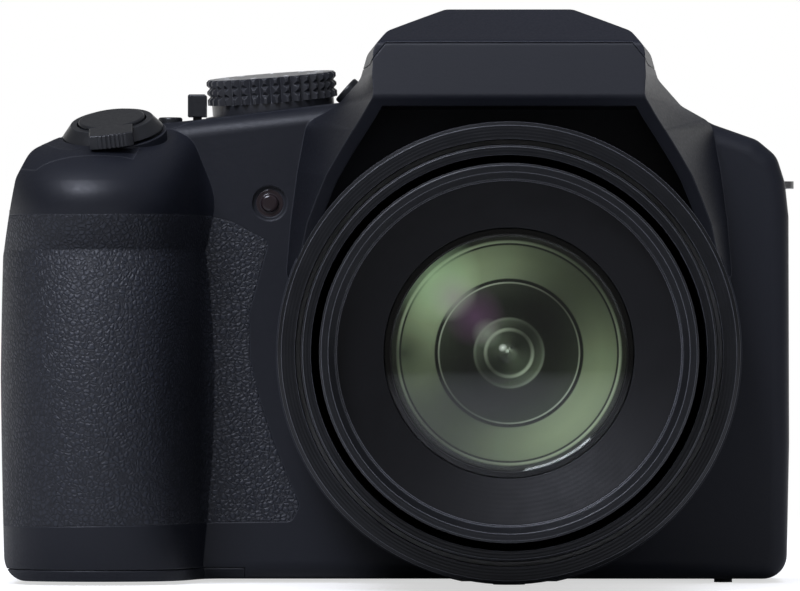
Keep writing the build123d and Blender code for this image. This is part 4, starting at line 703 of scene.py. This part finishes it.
@dataclass(frozen=True)
class Mark:
    """A thin printed sign on a CAD node's outer face: a bar, arrowhead or dot, or a ring of them."""

    name: str
    node: str
    body: str
    facing: Facing
    size: tuple[float, float]
    corners: int = 4
    turn_deg: float = 0.0
    out_mm: float = 0.0
    copies: int = 1
    lean_deg: tuple[float, float] = (0.0, 0.0)
    middle: tuple[float, float, float] | None = None
    ink: PrintedPaint = WHITE_INK
    thick: float = 0.04

    def sign(self) -> bpy.types.Object:
        """Shapes one sign flat at the origin, as far out as it lies from the middle."""
        deselect_all()
        bpy.ops.mesh.primitive_circle_add(vertices=self.corners, radius=MM, fill_type="NGON")
        piece = bpy.context.object
        bpy.ops.object.mode_set(mode="EDIT")
        bpy.ops.mesh.select_all(action="SELECT")
        if self.corners == 4:
            bpy.ops.transform.rotate(value=math.pi / 4, orient_axis="Z", center_override=ORIGIN)
        shape = bmesh.from_edit_mesh(piece.data)
        reach = [max(abs(corner.co[axis]) for corner in shape.verts) / MM for axis in (0, 1)]
        wide, high = (size / (2 * far) for size, far in zip(self.size, reach))
        bpy.ops.transform.resize(value=(wide, high, 1.0), center_override=ORIGIN)
        bpy.ops.mesh.extrude_region_move(TRANSFORM_OT_translate={"value": (0.0, 0.0, self.thick * MM)})
        bpy.ops.mesh.select_all(action="SELECT")
        bpy.ops.transform.translate(value=(0.0, self.out_mm * MM, -self.thick * MM / 4))
        bpy.ops.object.mode_set(mode="OBJECT")
        return piece

    def place(self) -> Vector:
        """Finds the middle of the node's outer face."""
        if self.middle is not None:
            return Vector(self.middle) * MM
        low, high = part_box(self.node)
        middle = (Vector(low) + Vector(high)) / 2
        if self.facing is Facing.UP:
            middle.z = high[2]
        if self.facing is Facing.BACK:
            middle.y = high[1]
        return middle

    def build(self) -> bpy.types.Object:
        """Prints the sign and its copies.

        Returns:
            The finished piece.
        """
        first = self.sign()
        signs = [first]
        for step in range(1, self.copies):
            twin = first.copy()
            twin.data = first.data.copy()
            bpy.context.scene.collection.objects.link(twin)
            signs.append(twin)
            twin.rotation_euler.z = math.tau * step / self.copies
        take(first)
        for sign in signs:
            sign.select_set(True)
        if self.copies > 1:
            bpy.ops.object.join()
        bpy.ops.object.transform_apply(location=True, rotation=True, scale=True)
        first.rotation_euler.z = math.radians(self.turn_deg)
        bpy.ops.object.transform_apply(location=False, rotation=True, scale=False)
        across, along = self.lean_deg
        first.rotation_euler = (
            self.facing.value[0] + math.radians(across), math.radians(along), self.facing.value[2]
        )
        first.location = self.place()
        return finished(first, self.name, self.ink, self.body)


# Sub-assemblies


@dataclass
class Assembly:
    """A sub-assembly of the camera: the CAD nodes that it dresses and the pieces that it adds."""

    title: str = "camera"

    def finishes(self) -> dict[str, Finish]:
        """Names its CAD nodes and the finish of each."""
        raise NotImplementedError

    def marks(self) -> Sequence[Mark]:
        """Lists the signs that are printed on it."""
        return ()

    def add_pieces(self) -> Iterable[bpy.types.Object]:
        """Builds the pieces that the CAD model doesn't have."""
        return ()

    def dress(self) -> None:
        """Gives each of its CAD nodes its finish."""
        for node, finish in self.finishes().items():
            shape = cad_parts[node]
            shape.data.materials.clear()
            shape.data.materials.append(finish.material())
            LOG.info("%s: dressed %s", self.title, node)

    def build(self) -> None:
        """Dresses the nodes, adds the pieces and reports them."""
        self.dress()
        for piece in self.add_pieces():
            LOG.info("%s: added %s", self.title, piece.name)
        for mark in self.marks():
            LOG.info("%s: printed %s", self.title, mark.build().name)


@dataclass
class CasingUnit(Assembly):
    """The shells with their screws, the rubber skins, the lamp window and the fittings."""

    title: str = "casing"

    def finishes(self) -> dict[str, Finish]:
        """Names the shells and what is set into them."""
        return {
            "front_casing": CASING, "rear_casing": CASING, "top_cover": CASING, "base_cover": CASING,
            "grip_rubber": RUBBER, "thumb_rubber": RUBBER, "casing_screws": STEEL, "tripod_socket": STEEL,
            "strap_lugs": STEEL, "af_lamp_window": LAMP,
        }


@dataclass
class LensUnit(Assembly):
    """The zoom lens: its barrels, and the inner glass with painted reflections that shows through the front
    one.
    """

    title: str = "lens"
    inner_reach: float = 18.3
    inner_front: float = -83.1
    inner_back: float = -81.6
    pole_r: float = 0.02
    crown: tuple[tuple[float, float], ...] = (
        (1.4, 0.02), (1.37, 2.0), (1.3, 3.9), (1.15, 5.7), (0.7, 8.8), (0.2, 11.6), (0.0, 12.2), (0.2, 15.0),
        (0.5, 17.6),
    )

    def finishes(self) -> dict[str, Finish]:
        """Names the barrels, the front glass and the groups behind it."""
        return {
            "fixed_barrel": INNER, "trim_ring": BARREL, "cam_ring": ALUMINIUM, "zoom_gear": BRASS,
            "zoom_motor": ALUMINIUM, "middle_barrel": BARREL, "front_barrel": BARREL,
            "name_ring": NAME_RING, "front_element": FRONT_GLASS, "guide_rods": STEEL,
            "zoom_group": INNER, "iris_unit": INNER, "focus_group": INNER, "sensor_board": BOARD,
        }

    def add_pieces(self) -> Iterable[bpy.types.Object]:
        """Adds the glass behind the front one, with painted reflections."""
        yield self.inner_glass()

    def inner_glass(self) -> bpy.types.Object:
        """Shapes the second glass: a crowned disc in the cell behind the front glass."""
        outline = [
            *((self.inner_front - rise, radius) for rise, radius in self.crown),
            (self.inner_front, self.inner_reach), (self.inner_back, self.inner_reach),
            (self.inner_back, self.pole_r),
        ]
        return finished(turned_piece(outline, closed=False), "inner_glass", INNER_GLASS_REFLECTIONS_PAINTED, "front_group")


@dataclass
class TopControls(Assembly):
    """The mode dial, the zoom lever with the shutter button, the switch and the keys on top."""

    title: str = "top controls"
    tick: tuple[float, float] = (0.4, 1.7)
    tick_out: float = 8.0
    ticks: int = 9
    dial_lean: tuple[float, float] = (3.9, -4.4)
    dial_top: tuple[float, float, float] = (-39.782, -9.428, 83.767)
    record_wide: float = 2.6
    function_wide: float = 0.9
    bar: tuple[float, float] = (0.5, 1.8)

    def finishes(self) -> dict[str, Finish]:
        """Names the dial, the lever, the switch and the keys."""
        return {
            "shutter_button": KEY, "zoom_lever": KEY, "mode_dial": DIAL, "power_switch": KEY,
            "record_button": KEY, "function_button": KEY, "flash_button": KEY,
        }

    def marks(self) -> Sequence[Mark]:
        """Lists the dial's ticks and the signs on the keys."""
        record, function = (self.record_wide,) * 2, (self.function_wide,) * 2
        return (
            Mark("dial_ticks", "mode_dial", "dial", Facing.UP, self.tick, out_mm=self.tick_out,
                 copies=self.ticks, lean_deg=self.dial_lean, middle=self.dial_top),
            Mark("record_dot", "record_button", "record_key", Facing.UP, record, 32, ink=RED_INK),
            Mark("function_dot", "function_button", "function_key", Facing.UP, function, 24),
            Mark("switch_bar", "power_switch", "switch", Facing.UP, self.bar),
        )


@dataclass
class PopUpFlash(Assembly):
    """The cover that forms the hump's top, with the flash under it."""

    title: str = "pop-up flash"

    def finishes(self) -> dict[str, Finish]:
        """Names the cover, the head behind its window and the hinge pin."""
        return {
            "flash_cover": PAINTED_LIT_HUMP, "flash_head": INNER, "flash_window": CLEAR, "flash_tube": CLEAR,
            "flash_hinge_pin": STEEL,
        }


@dataclass
class Viewfinder(Assembly):
    """The eyecup with its glass, the small display behind it and the wheel at its side."""

    title: str = "viewfinder"

    def finishes(self) -> dict[str, Finish]:
        """Names the viewfinder's four nodes."""
        return {
            "eyecup": EYECUP_RUBBER, "eyepiece_lens": CLEAR, "viewfinder_display": SCREEN,
            "diopter_wheel": KEY,
        }


@dataclass
class BackControls(Assembly):
    """The screen, the keys beside it and the rear dial."""

    title: str = "back"
    keys: tuple[str, ...] = (
        "menu_button", "cursor_up", "cursor_left", "cursor_down", "cursor_right", "af_lock_button",
        "viewfinder_button", "playback_button", "display_button", "rear_dial",
    )
    arrows: tuple[tuple[str, float], ...] = (("up", 180.0), ("down", 0.0), ("left", -90.0), ("right", 90.0))
    arrow: tuple[float, float] = (1.7, 1.2)
    play: tuple[float, float] = (1.8, 1.5)
    play_turn: float = 90.0
    display: tuple[float, float] = (2.0, 1.3)
    viewfinder_wide: float = 1.2
    menu_wide: float = 0.7
    menu_out: float = 1.5
    lock: tuple[float, float] = (0.4, 1.0)
    lock_out: float = 1.1

    def finishes(self) -> dict[str, Finish]:
        """Names the keys and the screen."""
        return {
            **{key: KEY for key in self.keys}, "screen_window": SCREEN, "screen_panel": ALUMINIUM,
        }

    def marks(self) -> Sequence[Mark]:
        """Lists the signs on the keys."""
        menu, viewfinder = (self.menu_wide,) * 2, (self.viewfinder_wide,) * 2
        return (
            *(
                Mark(f"{way}_arrow", f"cursor_{way}", f"cursor_{way}_key", Facing.BACK, self.arrow, 3, turn)
                for way, turn in self.arrows
            ),
            Mark("menu_dots", "menu_button", "menu_key", Facing.BACK, menu, 16, out_mm=self.menu_out,
                 copies=4),
            Mark("play_arrow", "playback_button", "playback_key", Facing.BACK, self.play, 3,
                 self.play_turn),
            Mark("display_frame", "display_button", "display_key", Facing.BACK, self.display),
            Mark("viewfinder_dot", "viewfinder_button", "viewfinder_key", Facing.BACK, viewfinder, 24),
            Mark("lock_bars", "af_lock_button", "af_lock_key", Facing.BACK, self.lock,
                 out_mm=self.lock_out, copies=4),
        )


@dataclass
class PowerUnit(Assembly):
    """The battery, the card and the boards, with the doors that close over them."""

    title: str = "power and boards"

    def finishes(self) -> dict[str, Finish]:
        """Names the doors and what lies behind them."""
        return {
            "battery_door": CASING, "battery_door_pin": STEEL, "battery_latch": KEY, "battery": BATTERY,
            "memory_card": CARD, "battery_bay": INNER, "terminal_door": CASING, "main_board": BOARD,
        }


# Stage


@dataclass(frozen=True)
class SoftBox:
    """A square soft lamp that looks at the camera's middle."""

    name: str
    at: tuple[float, float, float]
    side: float
    watts: float
    mirrored: bool = True
    tint: str = "#e9eeff"

    def hang(self, target: Vector) -> None:
        """Adds the lamp.

        Args:
            target: The point that it faces.
        """
        lamp = bpy.data.lights.new(self.name, "AREA")
        lamp.shape = "SQUARE"
        lamp.size = self.side
        lamp.energy = self.watts
        lamp.color = linear(self.tint)[:3]
        holder = bpy.data.objects.new(self.name, lamp)
        bpy.context.scene.collection.objects.link(holder)
        holder.location = self.at
        holder.visible_glossy = self.mirrored
        holder.visible_transmission = self.mirrored
        holder.rotation_euler = (target - Vector(self.at)).to_track_quat("-Z", "Y").to_euler()


@dataclass
class Studio:
    """The pale floor, the soft light and the camera at the photograph's place."""

    middle: tuple[float, float, float] = (0.0, -0.03, 0.045)
    paper: str = "#bcbcbc"
    glow: float = 0.62
    floor_half: float = 4.0
    floor_rear: float = 0.3
    floor_front: float = -0.1
    floor_near: float = 0.16
    floor_far: float = 0.55
    fill: float = 0.42
    room: float = 0.14
    pane_fill: float = 2.0
    backdrop_from: float = 0.55
    backdrop_full: float = 0.95
    backdrop_top: float = 0.45
    backdrop_low: float = 0.1
    distance: float = 1.494
    lens_mm: float = 400.0
    sensor_mm: float = 36.0
    turn_deg: float = 0.7026
    rise_deg: float = 0.3706
    lamps: tuple[SoftBox, ...] = (
        SoftBox("key_light", (-0.45, -0.95, 1.05), 0.6, 20.0),
        SoftBox("fill_light", (0.9, -1.5, 0.6), 0.9, 5.0, mirrored=False),
        SoftBox("top_light", (0.25, 0.15, 1.5), 0.8, 14.0, mirrored=False),
    )

    def floor_paint(self) -> bpy.types.Material:
        """Makes the floor's matt paper, white to the eye apart from the shadow on it."""
        made = bpy.data.materials.new("white_paper_floor")
        made.use_nodes = True
        tree = made.node_tree
        tree.nodes.remove(tree.nodes["Principled BSDF"])
        paper = add_node(tree, "BsdfDiffuse", {"Color": linear(self.paper)})
        ray = add_node(tree, "LightPath")
        place = add_node(tree, "TexCoord")
        side = add_node(tree, "SeparateXYZ", {}, {0: place.outputs["Object"]})
        behind = add_node(
            tree, "MapRange", {"From Min": 0.0, "From Max": self.floor_rear}, {"Value": side.outputs["Y"]}
        )
        mirrored = add_node(
            tree, "Math", {"operation": "MULTIPLY"}, {0: behind.outputs[0], 1: ray.outputs["Is Glossy Ray"]}
        )
        seen = add_node(
            tree, "Math", {"operation": "MAXIMUM"},
            {0: ray.outputs["Is Camera Ray"], 1: mirrored.outputs[0]},
        )
        lifted = add_node(tree, "Math", {"operation": "MULTIPLY", 1: self.glow}, {0: seen.outputs[0]})
        glow = add_node(tree, "Emission", {}, {"Strength": lifted.outputs[0]})
        both = add_node(tree, "AddShader", {}, {0: paper.outputs[0], 1: glow.outputs[0]})
        reach = add_node(tree, "VectorMath", {"operation": "LENGTH"}, {0: place.outputs["Object"]})
        away = add_node(
            tree, "MapRange", {"From Min": self.floor_near, "From Max": self.floor_far},
            {"Value": reach.outputs["Value"]},
        )
        share = add_node(
            tree, "Math", {"operation": "MULTIPLY"}, {0: away.outputs[0], 1: seen.outputs[0]}
        )
        white = add_node(tree, "Emission", {"Strength": 1.0})
        laid = add_node(
            tree, "MixShader", {}, {0: share.outputs[0], 1: both.outputs[0], 2: white.outputs[0]}
        )
        facing = add_node(
            tree, "MapRange", {"From Min": 0.0, "From Max": self.floor_front}, {"Value": side.outputs["Y"]}
        )
        before = add_node(
            tree, "Math", {"operation": "MULTIPLY"}, {0: facing.outputs[0], 1: away.outputs[0]}
        )
        dimmed = add_node(
            tree, "Math", {"operation": "MULTIPLY"}, {0: before.outputs[0], 1: ray.outputs["Is Glossy Ray"]}
        )
        room = add_node(tree, "Emission", {"Strength": self.room})
        whole = add_node(
            tree, "MixShader", {}, {0: dimmed.outputs[0], 1: laid.outputs[0], 2: room.outputs[0]}
        )
        tree.links.new(whole.outputs[0], tree.nodes["Material Output"].inputs["Surface"])
        return made

    def lay_floor(self) -> None:
        """Lays the floor under the feet."""
        deselect_all()
        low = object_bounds()[0][2]
        bpy.ops.mesh.primitive_plane_add(size=2 * self.floor_half, location=(0.0, 0.0, low))
        floor = bpy.context.object
        floor.name = "floor"
        bpy.ops.object.transform_apply(location=True, rotation=True, scale=True)
        floor.data.materials.append(self.floor_paint())
        floor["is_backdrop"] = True

    def light(self) -> None:
        """Sets the white surroundings and hangs the lamps.

        Reflections show the white backdrop straight behind the object, and a dimmer room all round it.
        """
        scene = bpy.context.scene
        scene.view_settings.view_transform = "Standard"
        world = scene.world or bpy.data.worlds.new("studio")
        scene.world = world
        world.use_nodes = True
        tree = world.node_tree
        tree.nodes.clear()
        ray = add_node(tree, "LightPath")
        bounces = add_node(
            tree, "Math", {"operation": "ADD"},
            {0: ray.outputs["Glossy Depth"], 1: ray.outputs["Diffuse Depth"]},
        )
        straight = add_node(tree, "Math", {"operation": "LESS_THAN", 1: 0.5}, {0: bounces.outputs[0]})
        through = add_node(
            tree, "Math", {"operation": "MULTIPLY"},
            {0: straight.outputs[0], 1: ray.outputs["Is Transmission Ray"]},
        )
        seen = add_node(
            tree, "Math", {"operation": "MAXIMUM"}, {0: ray.outputs["Is Camera Ray"], 1: through.outputs[0]}
        )
        glossy = add_node(tree, "Math", {"operation": "MINIMUM", 1: 1.0}, {0: ray.outputs["Glossy Depth"]})
        look = add_node(tree, "SeparateXYZ", {}, {0: add_node(tree, "TexCoord").outputs["Generated"]})
        behind = add_node(
            tree, "MapRange", {"From Min": self.backdrop_from, "From Max": self.backdrop_full},
            {"Value": look.outputs["Y"]},
        )
        low = add_node(
            tree, "MapRange", {"From Min": self.backdrop_top, "From Max": self.backdrop_low},
            {"Value": look.outputs["Z"]},
        )
        backdrop = add_node(
            tree, "Math", {"operation": "MULTIPLY"}, {0: behind.outputs[0], 1: low.outputs[0]}
        )
        mirrored = add_node(
            tree, "Math", {"operation": "MULTIPLY"}, {0: backdrop.outputs[0], 1: glossy.outputs[0]}
        )
        shown = add_node(
            tree, "Math", {"operation": "MAXIMUM"}, {0: seen.outputs[0], 1: mirrored.outputs[0]}
        )
        dim = add_node(
            tree, "MapRange", {"To Min": self.fill, "To Max": self.room}, {"Value": glossy.outputs[0]}
        )
        matt = add_node(
            tree, "Math", {"operation": "MULTIPLY"},
            {0: ray.outputs["Diffuse Depth"], 1: ray.outputs["Is Transmission Ray"]},
        )
        lit = add_node(
            tree, "MapRange", {"To Max": self.pane_fill},
            {"Value": matt.outputs[0], "To Min": dim.outputs[0]},
        )
        strength = add_node(
            tree, "MapRange", {"To Max": 1.0}, {"Value": shown.outputs[0], "To Min": lit.outputs[0]}
        )
        sky = add_node(
            tree, "Background", {"Color": WHITE}, {"Strength": strength.outputs[0]}
        )
        out = add_node(tree, "OutputWorld", {}, {"Surface": sky.outputs[0]})
        out.is_active_output = True
        for lamp in self.lamps:
            lamp.hang(Vector(self.middle))

    def set_camera(self) -> None:
        """Puts the camera in front of the lens, turned as the photograph's."""
        lens = bpy.data.cameras.new("photo_camera")
        lens.lens = self.lens_mm
        lens.sensor_width = self.sensor_mm
        lens.clip_end = 20.0
        holder = bpy.data.objects.new("photo_camera", lens)
        bpy.context.scene.collection.objects.link(holder)
        holder.location = (0.0, -self.distance, AXIS_HEIGHT * MM)
        holder.rotation_euler = (
            math.pi / 2 + math.radians(self.rise_deg), 0.0, math.radians(self.turn_deg)
        )
        bpy.context.scene.camera = holder

    def build(self) -> None:
        """Sets up the whole studio."""
        self.set_camera()
        self.lay_floor()
        self.light()


def main() -> None:
    """Builds the camera and its studio."""
    logging.basicConfig(level=logging.INFO, format="%(name)s: %(message)s")
    for unit in (
        CasingUnit(), LensUnit(), TopControls(), PopUpFlash(), Viewfinder(), BackControls(), PowerUnit()
    ):
        unit.build()
    Studio().build()


if __name__ == "__main__":
    main()
